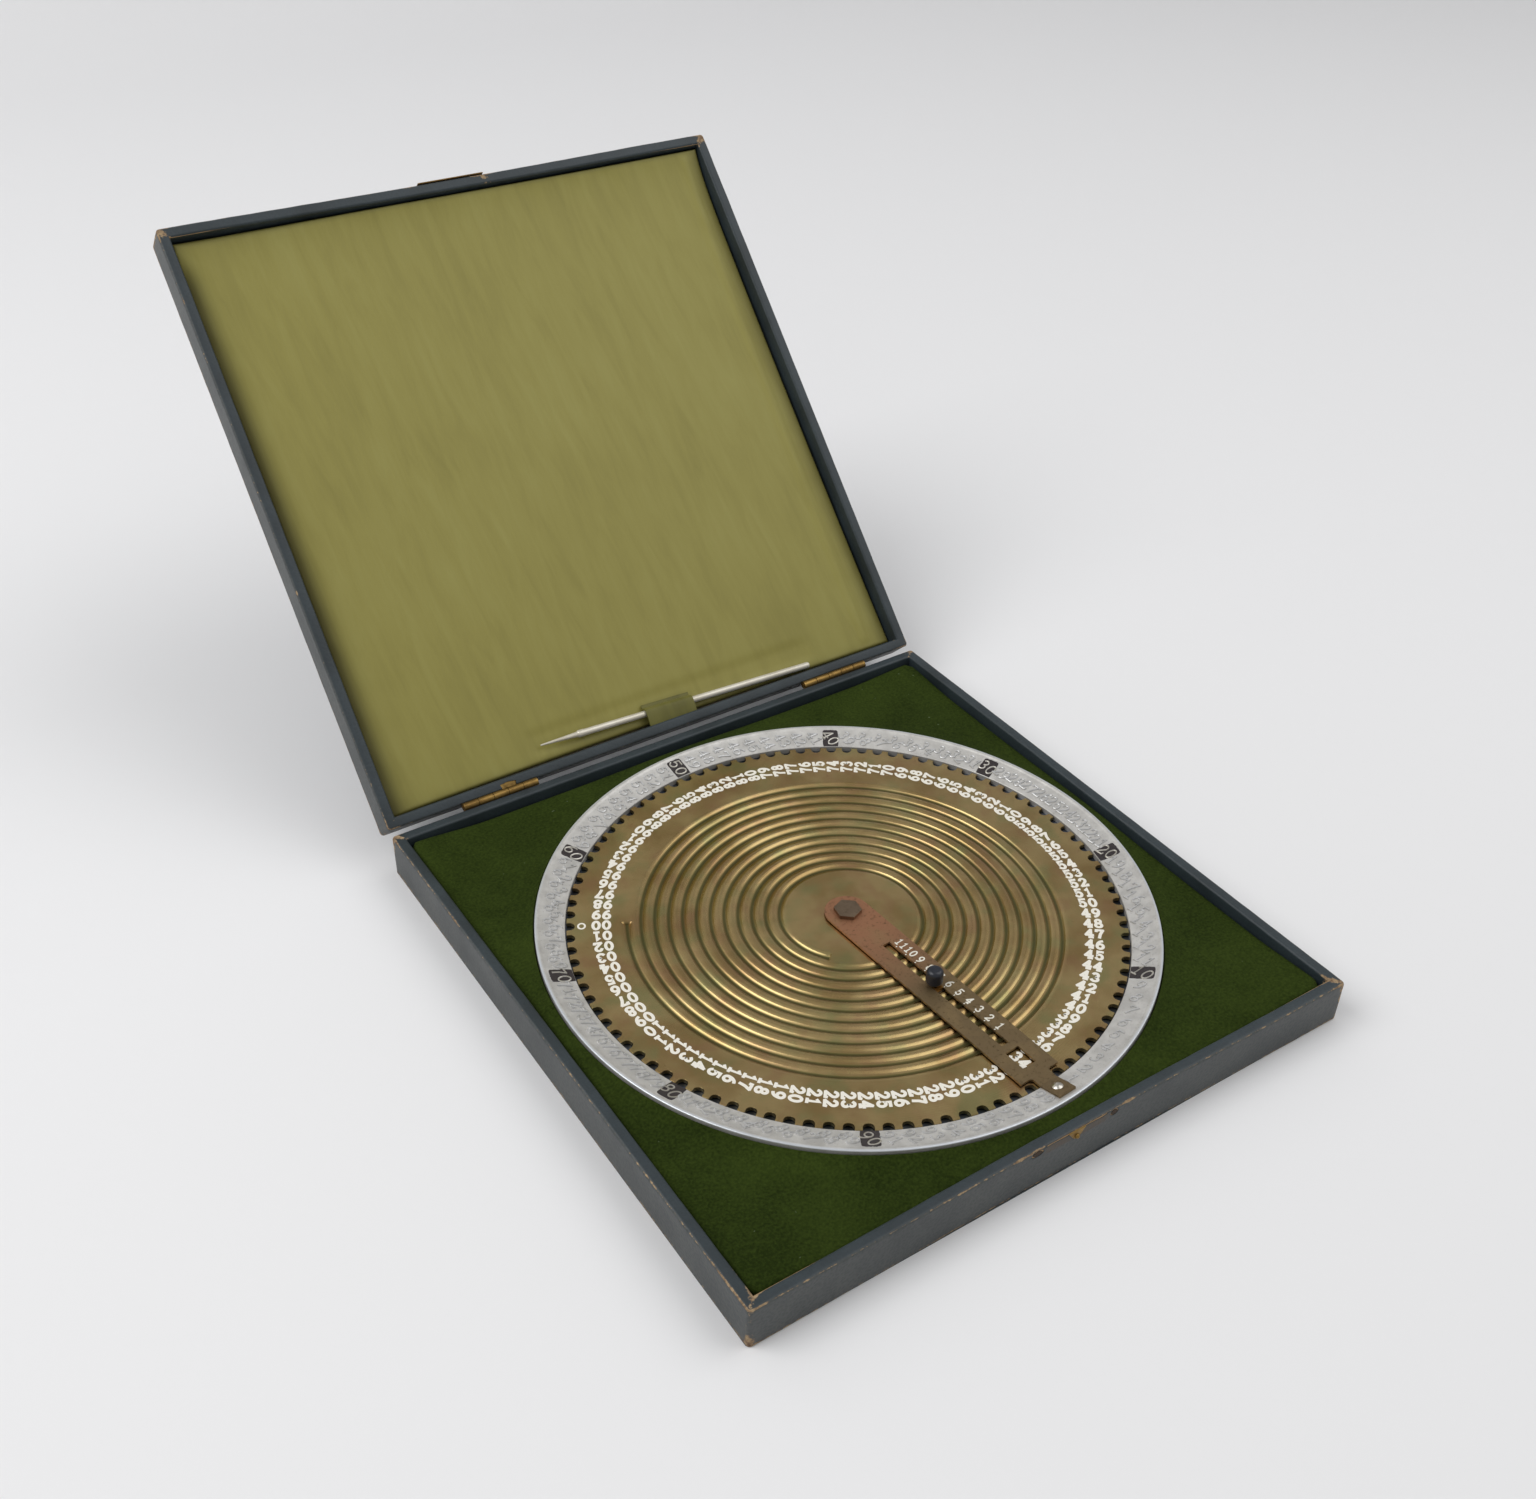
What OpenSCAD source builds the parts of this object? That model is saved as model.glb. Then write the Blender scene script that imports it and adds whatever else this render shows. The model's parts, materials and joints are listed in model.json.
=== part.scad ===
// Circular adder: a dial that is turned with a stylus and adds up to 1,100,
// bedded in velvet in the base of a hinged, leatherette-covered case.
// Origin: the middle of the base, on the surface that it stands on.
// +X runs along the hinge line, +Y from the front to the hinges, +Z up.
// Each lid piece is drawn as if the lid were shut, and then turned open.

/* [Case] */
// Room between the dial and the left and right walls
side_gap = 4.6; // [3.5:0.1:12]
// Room between the dial and the front and back walls
front_gap = 5; // [3.5:0.1:12]
// Height of the base up to its rim
base_h = 12.85; // [11:0.05:20]
// Height of the lid from its rim to its top
lid_h = 10.7; // [9.5:0.1:16]
// Thickness of the wooden walls
wall_t = 2.6; // [2:0.1:2.9]
// Thickness of the bottom board and of the top board
board_t = 2.4; // [1.6:0.1:3]
// Thickness of the leatherette
cover_t = 0.35; // [0.2:0.05:0.45]
// Radius of the upright corners
corner_r = 1; // [0.5:0.1:2]
// Gap between the two rims when the lid is shut
rim_gap = 0.4; // [0.2:0.05:0.8]
// How far the lid stands open
open_angle = 134.2; // [90:0.1:150]

/* [Lining] */
// Thickness of the velvet pad round the dial
velvet_t = 2.3; // [1.5:0.1:2.8]
// Rise of the velvet in the four corners
velvet_rise = 1.6; // [0:0.1:1.9]
// Radius at which the velvet and silk edges turn down
soft_edge = 1.6; // [0.8:0.1:2.4]
// Gap round the velvet and the silk
soft_gap = 0.3; // [0.2:0.05:0.6]
// Thickness of the card inside the lid lining
card_t = 1; // [0.5:0.1:1.5]
// Thickness of the padded silk at its edge
silk_t = 2.4; // [1.5:0.1:3]
// Extra thickness of the silk in its middle
silk_crown = 0.5; // [0:0.1:0.8]
// How far the silk's sides draw in between its corners
silk_pull = 0.9; // [0:0.1:1.5]

/* [Hinges] */
// Length of each hinge
hinge_len = 24; // [18:0.5:30]
// Middle of the left hinge, from the left side of the case
left_hinge_in = 34.7; // [20:0.1:50]
// Middle of the right hinge, from the right side of the case
right_hinge_in = 30.9; // [20:0.1:50]
// Distance of the hinge axis behind the case
hinge_out = 0.9; // [0.7:0.05:1.1]
// Outer radius of the knuckles
knuckle_r = 1.25; // [1.1:0.05:1.4]
// Radius of the hinge pins
pin_r = 0.6; // [0.4:0.05:0.8]
// Clearance of the pins in the knuckles
pin_play = 0.04; // [0.02:0.01:0.08]
// Clearance between the knuckles, and round them
knuckle_play = 0.15; // [0.1:0.05:0.3]
// Thickness of the hinge leaves
leaf_t = 0.5; // [0.3:0.05:0.6]
// How far the leaves reach into the walls
leaf_w = 2.1; // [1.6:0.1:2.4]
// Radius of the nails in the leaves
nail_r = 0.35; // [0.25:0.05:0.45]
// Length of the nails in the leaves
nail_len = 4.5; // [3:0.1:6]
// Start of the worn patch that bares the left lid leaf, from the leaf's left end
patch_at = 13; // [3:0.1:17]
// Length of the worn patch
patch_len = 4.9; // [2:0.1:6]

/* [Catch] */
// Length of the pale strip that the lost catch plate left on the front
strip_len = 18; // [12:0.5:24]
// Height of the strip
strip_h = 1.8; // [1:0.1:2.5]
// Distance of each prong hole from the middle of the front
prong_x = 11.9; // [11:0.1:16]
// Radius of the prong holes
prong_r = 0.9; // [0.5:0.05:1.2]
// Height of the brass tab that is left of the catch
tab_h = 2.2; // [1.5:0.1:3]
// Thickness of the brass tab and of the keeper strip
tab_t = 0.3; // [0.2:0.05:0.5]
// Radius of the pin head in the tab
tab_pin_r = 0.7; // [0.4:0.05:1]
// Length of the keeper strip on the front of the lid
keeper_len = 22; // [15:0.5:30]
// Height of the keeper strip
keeper_h = 2; // [1.2:0.1:3]

/* [Dial] */
// Outer radius of the numbered ring
ring_r = 84.6; // [78:0.1:95]
// Width of the numbered ring from its inner edge to its outer edge
ring_w = 8.1; // [7:0.1:9]
// Slope of the numbered face, upwards to the outside
ring_slope = 15.2; // [8:0.1:20]
// Width of the plain lip round the numbered face
lip_w = 1.3; // [0.8:0.1:2]
// Rise of the lip above the numbered face
lip_rise = 0.35; // [0.2:0.05:0.6]
// Thickness of the ring's sheet metal
sheet_t = 0.6; // [0.4:0.05:0.8]
// Height of the ring's inner edge above the disc
ring_step = 0.3; // [0.2:0.05:0.6]
// Thickness of the ring's turned-in bottom edge
crimp_t = 0.3; // [0.2:0.05:0.5]
// Width of the ring's turned-in bottom edge
crimp_w = 1.8; // [1.2:0.1:3]
// Thickness of the backing plate
plate_t = 0.7; // [0.5:0.05:1]
// Depth of the ring's crest below the rim of the base
rim_drop = 0.35; // [0:0.05:1]
// Thickness of the adding disc
disc_t = 1.15; // [0.9:0.05:1.5]
// Gap between the disc's edge and the ring
disc_gap = 0.3; // [0.2:0.05:0.5]
// Number of places on the dial
places = 100; // [80:1:100]
// Radius of the round bottom of each stylus notch
notch_r = 1.45; // [1:0.05:1.7]
// Depth of each notch from the disc's edge
notch_depth = 2.25; // [1.8:0.05:3]
// Thickness of the friction washer under the disc
washer_t = 0.25; // [0.15:0.05:0.4]
// Outer radius of the friction washer
washer_r = 12; // [8:0.5:16]
// Radius of the bush in the disc
bush_r = 5; // [4:0.1:6]
// Radius of the centre post
post_r = 3; // [2.5:0.1:3.5]
// Radius of the post's foot in the backing plate
foot_r = 2.2; // [1.5:0.1:2.4]
// Radius of the threaded end of the centre screw
screw_r = 1.5; // [1:0.1:2]
// Distance across the corners of the centre screw's head
screw_head_w = 7.7; // [6:0.1:9]
// Height of the centre screw's head
screw_head_h = 1.1; // [0.8:0.05:2]
// Direction of one corner of the centre screw's head
screw_head_turn = 21; // [0:1:59]

/* [Counter] */
// Number that the dial shows at rest
reading = 634; // [0:1:1100]
// Distance of the start of the spiral groove from the disc's edge
spiral_in = 16.28; // [15.8:0.01:18]
// Step of the spiral groove for each turn
spiral_pitch = 3.76; // [3.4:0.01:3.8]
// Number of turns of the spiral groove
spiral_turns = 11.18; // [9:0.01:11.4]
// Width of the spiral groove
groove_w = 1.3; // [1.2:0.05:1.6]
// Depth of the spiral groove
groove_d = 0.6; // [0.4:0.05:0.7]
// Direction of the counter arm, counted from +X
arm_angle = 274.2; // [270:0.1:280]
// Width of the counter arm
arm_w = 12.6; // [11:0.1:14]
// Thickness of the counter arm
arm_t = 0.6; // [0.5:0.05:0.8]
// Distance from the end of the arm's full width to the inner edge of the ring
arm_step = 3.1; // [2.7:0.1:3.5]
// Radius of the fillets beside the arm's tongue
arm_fillet = 1; // [0.5:0.1:1.6]
// Width of the arm's tongue
tongue_w = 5.5; // [4:0.1:7]
// Gap between the tongue's end and the edge of the ring
tongue_gap = 1.8; // [1.4:0.1:3]
// Distance of the rivet from the inner edge of the ring
rivet_in = 3; // [2.5:0.1:4]
// Radius of the rivet's head
rivet_head_r = 1.45; // [1:0.05:2]
// Height of the rivet's head
rivet_head_h = 0.6; // [0.3:0.05:1]
// Radius of the rivet's shank
rivet_r = 0.7; // [0.5:0.05:0.9]
// Width of the arm's slot
slot_w = 2.4; // [2.2:0.1:3]
// Distance of the middle of the reading window from the disc's edge
window_in = 9.4; // [9:0.1:9.8]
// Length of the reading window, outwards
window_l = 6.3; // [6:0.1:7]
// Width of the reading window
window_w = 4.4; // [4:0.1:5]
// Clearance beside the slider and at the ends of the slot
slider_play = 0.08; // [0.05:0.01:0.15]
// Length of the slider outwards from its pin
slider_nose = 1.35; // [1:0.05:1.4]
// Length of the slider inwards from its pin
slider_tail = 1.85; // [1.6:0.05:2]
// Height of the slider above the arm
slider_top = 0.3; // [0.15:0.05:0.5]
// Radius of the follower pin
follower_r = 0.5; // [0.3:0.05:0.5]
// Radius of the follower pin's collar under the arm
collar_r = 1.6; // [1.4:0.05:2]
// Radius of the stem that carries the bead
stem_r = 0.55; // [0.4:0.05:0.7]
// Radius of the bead
bead_r = 2.1; // [1.5:0.05:2.3]
// Height of the bead
bead_h = 4.9; // [3.5:0.1:5.2]
// Radius of the bead's rounded edges
bead_round = 1.3; // [0.5:0.1:1.4]

/* [Stylus] */
// Length of the stylus
stylus_len = 95.8; // [85:0.1:110]
// Diameter of the stylus
stylus_d = 1.9; // [1.5:0.1:2.2]
// Length of the stylus's point
point_len = 12.3; // [8:0.1:16]
// Radius of the blunted tip
tip_r = 0.25; // [0.15:0.05:0.4]
// Place of the tip, left of the middle of the case
tip_left = 39.6; // [30:0.1:45]
// Distance of the tip from the back wall of the lid
tip_in = 5.8; // [5.4:0.1:7]
// Slant of the stylus towards the back wall
stylus_slant = 2.36; // [1.5:0.01:2.4]
// Middle of the fabric loop, right of the middle of the case
loop_x = 4.3; // [0:0.1:10]
// Width of the fabric loop
loop_len = 16.5; // [10:0.1:20]
// Thickness of the fabric loop
loop_t = 0.45; // [0.3:0.05:0.6]
// Clearance of the stylus in the loop
loop_play = 0.25; // [0.15:0.05:0.35]
// Length of the loop's foot on the silk
loop_foot = 1.5; // [0.8:0.1:2.5]

/* [Hidden] */
$fn = 64;

// Small gap that keeps two fitted faces apart
fit = 0.02;
// Room that a torn edge of leatherette and a loose plate leave
soft_fit = 0.1;
// Overlap that makes a cut run cleanly through a face
cut = 1;

// Case: the board inside the covering, and the clear space inside the walls
rim_t = wall_t + 2 * cover_t;
inside_w = 2 * (ring_r + side_gap);
inside_d = 2 * (ring_r + front_gap);
case_w = inside_w + 2 * rim_t;
case_d = inside_d + 2 * rim_t;
bed_floor = cover_t + board_t;
lid_z = base_h + rim_gap;
lid_top = lid_z + lid_h;
ceiling_z = lid_top - cover_t - board_t;
hinge_left = case_w / 2 - left_hinge_in;
hinge_right = case_w / 2 - right_hinge_in;
hinge_y = case_d / 2 + hinge_out;
hinge_z = base_h + rim_gap / 2;
knuckles = 5;
knuckle_len = hinge_len / knuckles;
nail_y = case_d / 2 - cover_t - leaf_w / 2;
nail_step = hinge_len * 0.36;

// Dial: heights from the bed board upwards
ring_in_r = ring_r - ring_w;
cone_out_r = ring_r - lip_w;
cone_rise = (cone_out_r - ring_in_r) * tan(ring_slope);
dial_h = crimp_t + plate_t + washer_t + fit + disc_t + ring_step + cone_rise + lip_rise;
crest_z = base_h - rim_drop;
bed_z = crest_z - dial_h;
plate_z = bed_z + crimp_t;
plate_top = plate_z + plate_t;
plate_r = ring_r - sheet_t - soft_fit;
disc_z = plate_top + washer_t + fit;
disc_top = disc_z + disc_t;
disc_r = ring_in_r - disc_gap;
spiral_r = disc_r - spiral_in;
ring_in_z = disc_top + ring_step;
cone_out_z = ring_in_z + cone_rise;
place_angle = 360 / places;
disc_turn = arm_angle - place_angle * reading;

// Counter arm: seated on the post and on the sloping ring
seat = 0.04;
arm_z = ring_in_z + seat;
arm_top = arm_z + arm_t;
arm_end = ring_in_r - arm_step;
tongue_end = ring_r - tongue_gap;
rivet_at = ring_in_r + rivet_in;
window_r = disc_r - window_in;
pin_at = spiral_r - spiral_pitch * reading / places;
spiral_end = spiral_r - spiral_pitch * spiral_turns;
slot_in = spiral_end - slider_tail - slider_play;
slot_out = spiral_r + slider_nose + slider_play;
slider_z = arm_z + seat;
slider_roof = arm_top + slider_top;
bead_at = pin_at - slider_tail + stem_r + slider_play;
bead_z = slider_roof + seat;
collar_z = disc_top + slider_play;
collar_top = arm_z - slider_play;

// Lining and stylus, drawn with the lid shut
silk_z = ceiling_z - card_t - silk_t;
stylus_r = stylus_d / 2;
stylus_z = silk_z - soft_gap - stylus_r;
stylus_x = -tip_left;
stylus_y = inside_d / 2 - tip_in;

leather = "#3a444b";
wood = "#a98a63";
card = "#9c8f78";
velvet = "#2c3f12";
silk = "#86803f";
brass = "#a3854e";
bronze = "#6e5239";
nickel = "#c4c2bf";

// A block with rounded upright edges, centred on the Z axis
module rounded_block(w, d, h, r) {
  linear_extrude(h) {
    square([w - 2 * r, d], center = true);
    square([w, d - 2 * r], center = true);
    for (x = [-1, 1], y = [-1, 1])
      translate([x * (w / 2 - r), y * (d / 2 - r)]) circle(r);
  }
}

// A centred box that stands on height z
module slab(w, d, z, h) {
  translate([-w / 2, -d / 2, z]) cube([w, d, h]);
}

// The space inside the covering, from height z upwards
module boards_space(z, h) {
  translate([0, 0, z])
    rounded_block(case_w - 2 * cover_t, case_d - 2 * cover_t, h, max(corner_r - cover_t, 0.1));
}

// One wall, from height z upwards: side is front, back, left or right
module wall(side, z, h) {
  x = case_w / 2 - cover_t - wall_t;
  y = case_d / 2 - cover_t - wall_t;
  intersection() {
    boards_space(z, h);
    if (side == "left") translate([-x - 2 * wall_t, -case_d / 2, z]) cube([2 * wall_t, case_d, h]);
    if (side == "right") translate([x, -case_d / 2, z]) cube([2 * wall_t, case_d, h]);
    if (side == "front") translate([-x, -y - 2 * wall_t, z]) cube([2 * x, 2 * wall_t, h]);
    if (side == "back") translate([-x, y, z]) cube([2 * x, 2 * wall_t, h]);
  }
}

// The board between the walls
module floor_board(z) {
  slab(case_w - 2 * (cover_t + wall_t), case_d - 2 * (cover_t + wall_t), z, board_t);
}

// Turns a piece that is drawn with the lid shut to the open lid
module on_lid() {
  translate([0, hinge_y, hinge_z]) rotate([-open_angle, 0, 0]) translate([0, -hinge_y, -hinge_z])
    children();
}

// Mirrors a piece of the base to the lid, across the joint between them
module over_joint() {
  translate([0, 0, hinge_z]) mirror([0, 0, 1]) translate([0, 0, -hinge_z]) children();
}

// The room that a hinge and its leaf take in the base's back wall and covering
module hinge_room() {
  for (x = [-hinge_left, hinge_right]) {
    translate([x - hinge_len / 2 - knuckle_play, hinge_y, hinge_z]) rotate([0, 90, 0])
      cylinder(r = knuckle_r + knuckle_play, h = hinge_len + 2 * knuckle_play);
    translate([x - hinge_len / 2, case_d / 2 - cover_t - leaf_w, base_h - cover_t - leaf_t])
      cube([hinge_len, leaf_w + hinge_out + cover_t, leaf_t]);
  }
}

// The nails of both leaves on one side of the joint, grown by a clearance
module nails(play) {
  for (x = [-hinge_left, hinge_right], k = [-1, 0, 1])
    translate([x + k * nail_step, nail_y, base_h - cover_t - nail_len - play])
      cylinder(r = nail_r + play, h = nail_len + play);
}

// A hinge leaf on the base: first is its first knuckle, and every second one follows
module leaf(x, first) {
  left = x - hinge_len / 2;
  difference() {
    union() {
      translate([left, case_d / 2 - cover_t - leaf_w, base_h - cover_t - leaf_t])
        cube([hinge_len, leaf_w + cover_t + hinge_out, leaf_t]);
      for (k = [first : 2 : knuckles - 1])
        translate([left + k * knuckle_len + knuckle_play / 2, hinge_y, hinge_z]) rotate([0, 90, 0])
          cylinder(r = knuckle_r, h = knuckle_len - knuckle_play);
    }
    for (k = [1 - first : 2 : knuckles - 1])
      translate([left + k * knuckle_len - knuckle_play / 2, hinge_y, hinge_z]) rotate([0, 90, 0])
        cylinder(r = knuckle_r + knuckle_play, h = knuckle_len + knuckle_play);
    translate([left - cut, hinge_y, hinge_z]) rotate([0, 90, 0])
      cylinder(r = pin_r + pin_play, h = hinge_len + 2 * cut);
    nails(fit);
  }
}

module hinge_pin(x) {
  translate([x - hinge_len / 2 - knuckle_play, hinge_y, hinge_z]) rotate([0, 90, 0])
    cylinder(r = pin_r, h = hinge_len + 2 * knuckle_play);
}

// Base

module base_board() {
  color(wood) floor_board(cover_t);
}

module base_wall(side) {
  wall(side, cover_t, base_h - 2 * cover_t);
}

module base_front_wall() {
  color(wood) difference() {
    base_wall("front");
    prong_holes();
    tab_pin_hole(fit);
  }
}

module base_back_wall() {
  color(wood) difference() {
    base_wall("back");
    hinge_room();
    nails(fit);
  }
}

module base_left_wall() {
  color(wood) base_wall("left");
}

module base_right_wall() {
  color(wood) base_wall("right");
}

// The two holes that held the prongs of the catch plate
module prong_holes() {
  for (x = [-1, 1])
    translate([x * prong_x, -case_d / 2 - cut, base_h - cover_t - prong_r]) rotate([-90, 0, 0])
      cylinder(r = prong_r, h = cut + cover_t + wall_t * 0.7);
}

// The hole of the pin that fastens the brass tab
module tab_pin_hole(play) {
  translate([0, -case_d / 2 - cut, base_h - tab_h]) rotate([-90, 0, 0])
    cylinder(r = tab_pin_r / 2 + play, h = cut + cover_t + wall_t / 2 + play);
}

// Leatherette over the outside, the rim and the inside of the base's walls
module base_covering() {
  color(leather) difference() {
    translate([0, 0, cover_t]) rounded_block(case_w, case_d, base_h - cover_t, corner_r);
    slab(inside_w, inside_d, cover_t + board_t, base_h);
    for (side = ["front", "back", "left", "right"]) base_wall(side);
    floor_board(cover_t);
    hinge_room();
    prong_holes();
    tab_shape(soft_fit, cut);
    translate([-strip_len / 2, -case_d / 2 - cut, base_h - strip_h])
      cube([strip_len, cut + cover_t, strip_h + cut]);
  }
}

// The sheet of leatherette under the base, that the case stands on
module base_underside() {
  color(leather) rounded_block(case_w, case_d, cover_t, corner_r);
}

// The board that fills the base under the dial
module bed_board() {
  color(card) slab(inside_w - 2 * fit, inside_d - 2 * fit, bed_floor, bed_z - bed_floor);
}

module left_base_leaf() {
  color(brass) leaf(-hinge_left, 0);
}

module right_base_leaf() {
  color(brass) leaf(hinge_right, 0);
}

module left_hinge_pin() {
  color(brass) hinge_pin(-hinge_left);
}

module right_hinge_pin() {
  color(brass) hinge_pin(hinge_right);
}

module base_leaf_nails() {
  color(brass) nails(0);
}

// Three-cornered tab with a blunt lower end, grown by a clearance, standing on the wall's face
module tab_shape(play, thick) {
  top = tab_h * 1.2 + play;
  end = tab_pin_r + play;
  translate([0, -case_d / 2 + cover_t, 0]) rotate([90, 0, 0]) linear_extrude(thick)
    polygon([
      [-top, base_h - cover_t], [top, base_h - cover_t],
      [end, base_h - tab_h - end], [-end, base_h - tab_h - end]
    ]);
}

// What is left of the catch: a small brass tab, held by a round-headed pin
module catch_tab() {
  color(brass) difference() {
    tab_shape(0, tab_t);
    tab_pin_hole(fit);
  }
}

module catch_pin() {
  color(brass) translate([0, -case_d / 2 + cover_t, base_h - tab_h]) rotate([90, 0, 0]) {
    translate([0, 0, -wall_t / 2]) cylinder(r = tab_pin_r / 2, h = wall_t / 2 + tab_t + fit);
    translate([0, 0, tab_t + fit]) intersection() {
      sphere(tab_pin_r);
      cylinder(r = tab_pin_r, h = tab_pin_r);
    }
  }
}

// Velvet pad: a square with a round hole for the dial, with rounded edges and raised corners

function square_reach(a, half_w, half_d) =
  min(half_w / max(abs(cos(a)), 0.0001), half_d / max(abs(sin(a)), 0.0001));

// Height of a soft surface at a distance from its edge, as a quarter circle of radius r
function turned_edge(d, r) = d >= r ? 0 : -r + sqrt(max(r * r - (r - d) * (r - d), 0));

velvet_spokes = 72;
velvet_in_r = ring_r + soft_gap;
velvet_half_w = inside_w / 2 - soft_gap;
velvet_half_d = inside_d / 2 - soft_gap;

// Angle of a spoke: in each quarter, the one in the middle runs into a corner of the pad
function quarter_angle(f) =
  let (half = velvet_spokes / 8, corner = atan2(velvet_half_d, velvet_half_w))
  f <= half ? corner * f / half : corner + (90 - corner) * (f - half) / half;

function spoke_angle(j) =
  let (step = velvet_spokes / 4, q = floor(j / step), f = j % step)
  q % 2 == 0 ? q * 90 + quarter_angle(f) : (q + 1) * 90 - quarter_angle(step - f);

// Point of the velvet: t runs from 0 at the hole to 1 at the walls
function velvet_point(j, t, z) =
  let (a = spoke_angle(j), out = square_reach(a, velvet_half_w, velvet_half_d))
  let (r = velvet_in_r + (out - velvet_in_r) * t)
  [r * cos(a), r * sin(a), z];

function velvet_top(j, t) =
  let (a = spoke_angle(j), out = square_reach(a, velvet_half_w, velvet_half_d))
  let (width = out - velvet_in_r, widest = norm([velvet_half_w, velvet_half_d]) - velvet_in_r)
  let (edge = min(soft_edge, velvet_t * 0.6, width * 0.4))
  let (d = min(t, 1 - t) * width, lift = velvet_rise * pow(width / widest, 2) * t * t)
  bed_z + velvet_t + turned_edge(d, edge) + lift;

velvet_steps = [0, 0.04, 0.16, 0.5, 0.84, 0.96, 1];

module velvet_pad() {
  rows = len(velvet_steps) + 2;
  points = [
    for (j = [0 : velvet_spokes - 1]) each concat(
      [velvet_point(j, 0, bed_z)],
      [for (t = velvet_steps) velvet_point(j, t, velvet_top(j, t))],
      [velvet_point(j, 1, bed_z)])
  ];
  faces = [
    for (j = [0 : velvet_spokes - 1], i = [0 : rows - 1])
      let (a = j * rows + i, b = j * rows + (i + 1) % rows)
      let (next = (j + 1) % velvet_spokes * rows, c = next + i, d = next + (i + 1) % rows)
      each [[a, c, b], [b, c, d]]
  ];
  color(velvet) polyhedron(points, faces);
}

// Lid

module lid_wall(side) {
  wall(side, lid_z + cover_t, lid_h - 2 * cover_t);
}

module lid_board() {
  color(wood) on_lid() floor_board(ceiling_z);
}

module lid_front_wall() {
  color(wood) on_lid() lid_wall("front");
}

module lid_back_wall() {
  color(wood) on_lid() difference() {
    lid_wall("back");
    over_joint() hinge_room();
    over_joint() nails(fit);
  }
}

module lid_left_wall() {
  color(wood) on_lid() lid_wall("left");
}

module lid_right_wall() {
  color(wood) on_lid() lid_wall("right");
}

// Leatherette over the lid, with the patch where the left leaf shows through the rim
module lid_covering() {
  color(leather) on_lid() difference() {
    translate([0, 0, lid_z]) rounded_block(case_w, case_d, lid_h, corner_r);
    slab(inside_w, inside_d, lid_z - cut, ceiling_z - lid_z + cut);
    for (side = ["front", "back", "left", "right"]) lid_wall(side);
    floor_board(ceiling_z);
    over_joint() hinge_room();
    translate([patch_at - hinge_left - hinge_len / 2, case_d / 2 - cover_t - leaf_w, lid_z - cut])
      cube([patch_len, leaf_w, cut + cover_t]);
  }
}

module left_lid_leaf() {
  color(brass) on_lid() over_joint() leaf(-hinge_left, 1);
}

module right_lid_leaf() {
  color(brass) on_lid() over_joint() leaf(hinge_right, 1);
}

module lid_leaf_nails() {
  color(brass) on_lid() over_joint() nails(0);
}

// Keeper of the catch on the front of the lid
module keeper_strip() {
  color(bronze) on_lid()
    translate([-keeper_len / 2, -case_d / 2 - tab_t, lid_z]) cube([keeper_len, tab_t, keeper_h]);
}

module lining_card() {
  color(card) on_lid() slab(inside_w - 2 * fit, inside_d - 2 * fit, ceiling_z - card_t, card_t);
}

// Padded silk: a crowned sheet on the card, with its sides drawn in between the corners

silk_cells = 22;
silk_w = inside_w - 2 * soft_gap;
silk_d = inside_d - 2 * soft_gap;

// Grid places that crowd towards the edges
function crowded(i) = sin(90 * (2 * i / silk_cells - 1));

// Point of the silk: face is 0 on the card and 1 on the crowned side
function silk_point(i, j, face) =
  let (s = crowded(i), t = crowded(j))
  let (x = s * (silk_w / 2 - silk_pull * (1 - t * t)), y = t * (silk_d / 2 - silk_pull * (1 - s * s)))
  let (d = min((1 - abs(s)) * silk_w / 2, (1 - abs(t)) * silk_d / 2))
  let (edge = min(soft_edge, silk_t * 0.8))
  let (h = silk_t + silk_crown * (1 - s * s) * (1 - t * t) + turned_edge(d, edge))
  [x, y, ceiling_z - card_t - face * h];

module silk_pad() {
  n = silk_cells + 1;
  points = concat(
    [for (i = [0 : n - 1], j = [0 : n - 1]) silk_point(i, j, 1)],
    [for (i = [0 : n - 1], j = [0 : n - 1]) silk_point(i, j, 0)]);
  skin = [
    for (i = [0 : n - 2], j = [0 : n - 2])
      let (a = i * n + j, b = a + 1, c = a + n, d = c + 1, m = n * n)
      each [[a, c, b], [b, c, d], [a + m, b + m, c + m], [b + m, d + m, c + m]]
  ];
  rim = concat(
    [for (i = [0 : n - 2]) [i * n, (i + 1) * n]],
    [for (j = [0 : n - 2]) [(n - 1) * n + j, (n - 1) * n + j + 1]],
    [for (i = [n - 1 : -1 : 1]) [i * n + n - 1, (i - 1) * n + n - 1]],
    [for (j = [n - 1 : -1 : 1]) [j, j - 1]]);
  sides = [for (e = rim) each [[e[0], e[0] + n * n, e[1]], [e[1], e[0] + n * n, e[1] + n * n]]];
  color(silk) on_lid() polyhedron(points, concat(skin, sides));
}

// Places a piece in the frame of the stylus: +X from tip to blunt end, +Z out of the lid
module along_stylus() {
  on_lid() translate([stylus_x, stylus_y, stylus_z]) rotate([0, 0, stylus_slant]) rotate([180, 0, 0])
    children();
}

module stylus() {
  color(nickel) along_stylus() rotate([0, 90, 0]) rotate_extrude()
    polygon([
      [0, 0], [tip_r, 0], [stylus_r * 0.9, point_len], [stylus_r, point_len + stylus_r],
      [stylus_r, stylus_len - stylus_r * 0.3], [stylus_r * 0.7, stylus_len], [0, stylus_len]
    ]);
}

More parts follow.
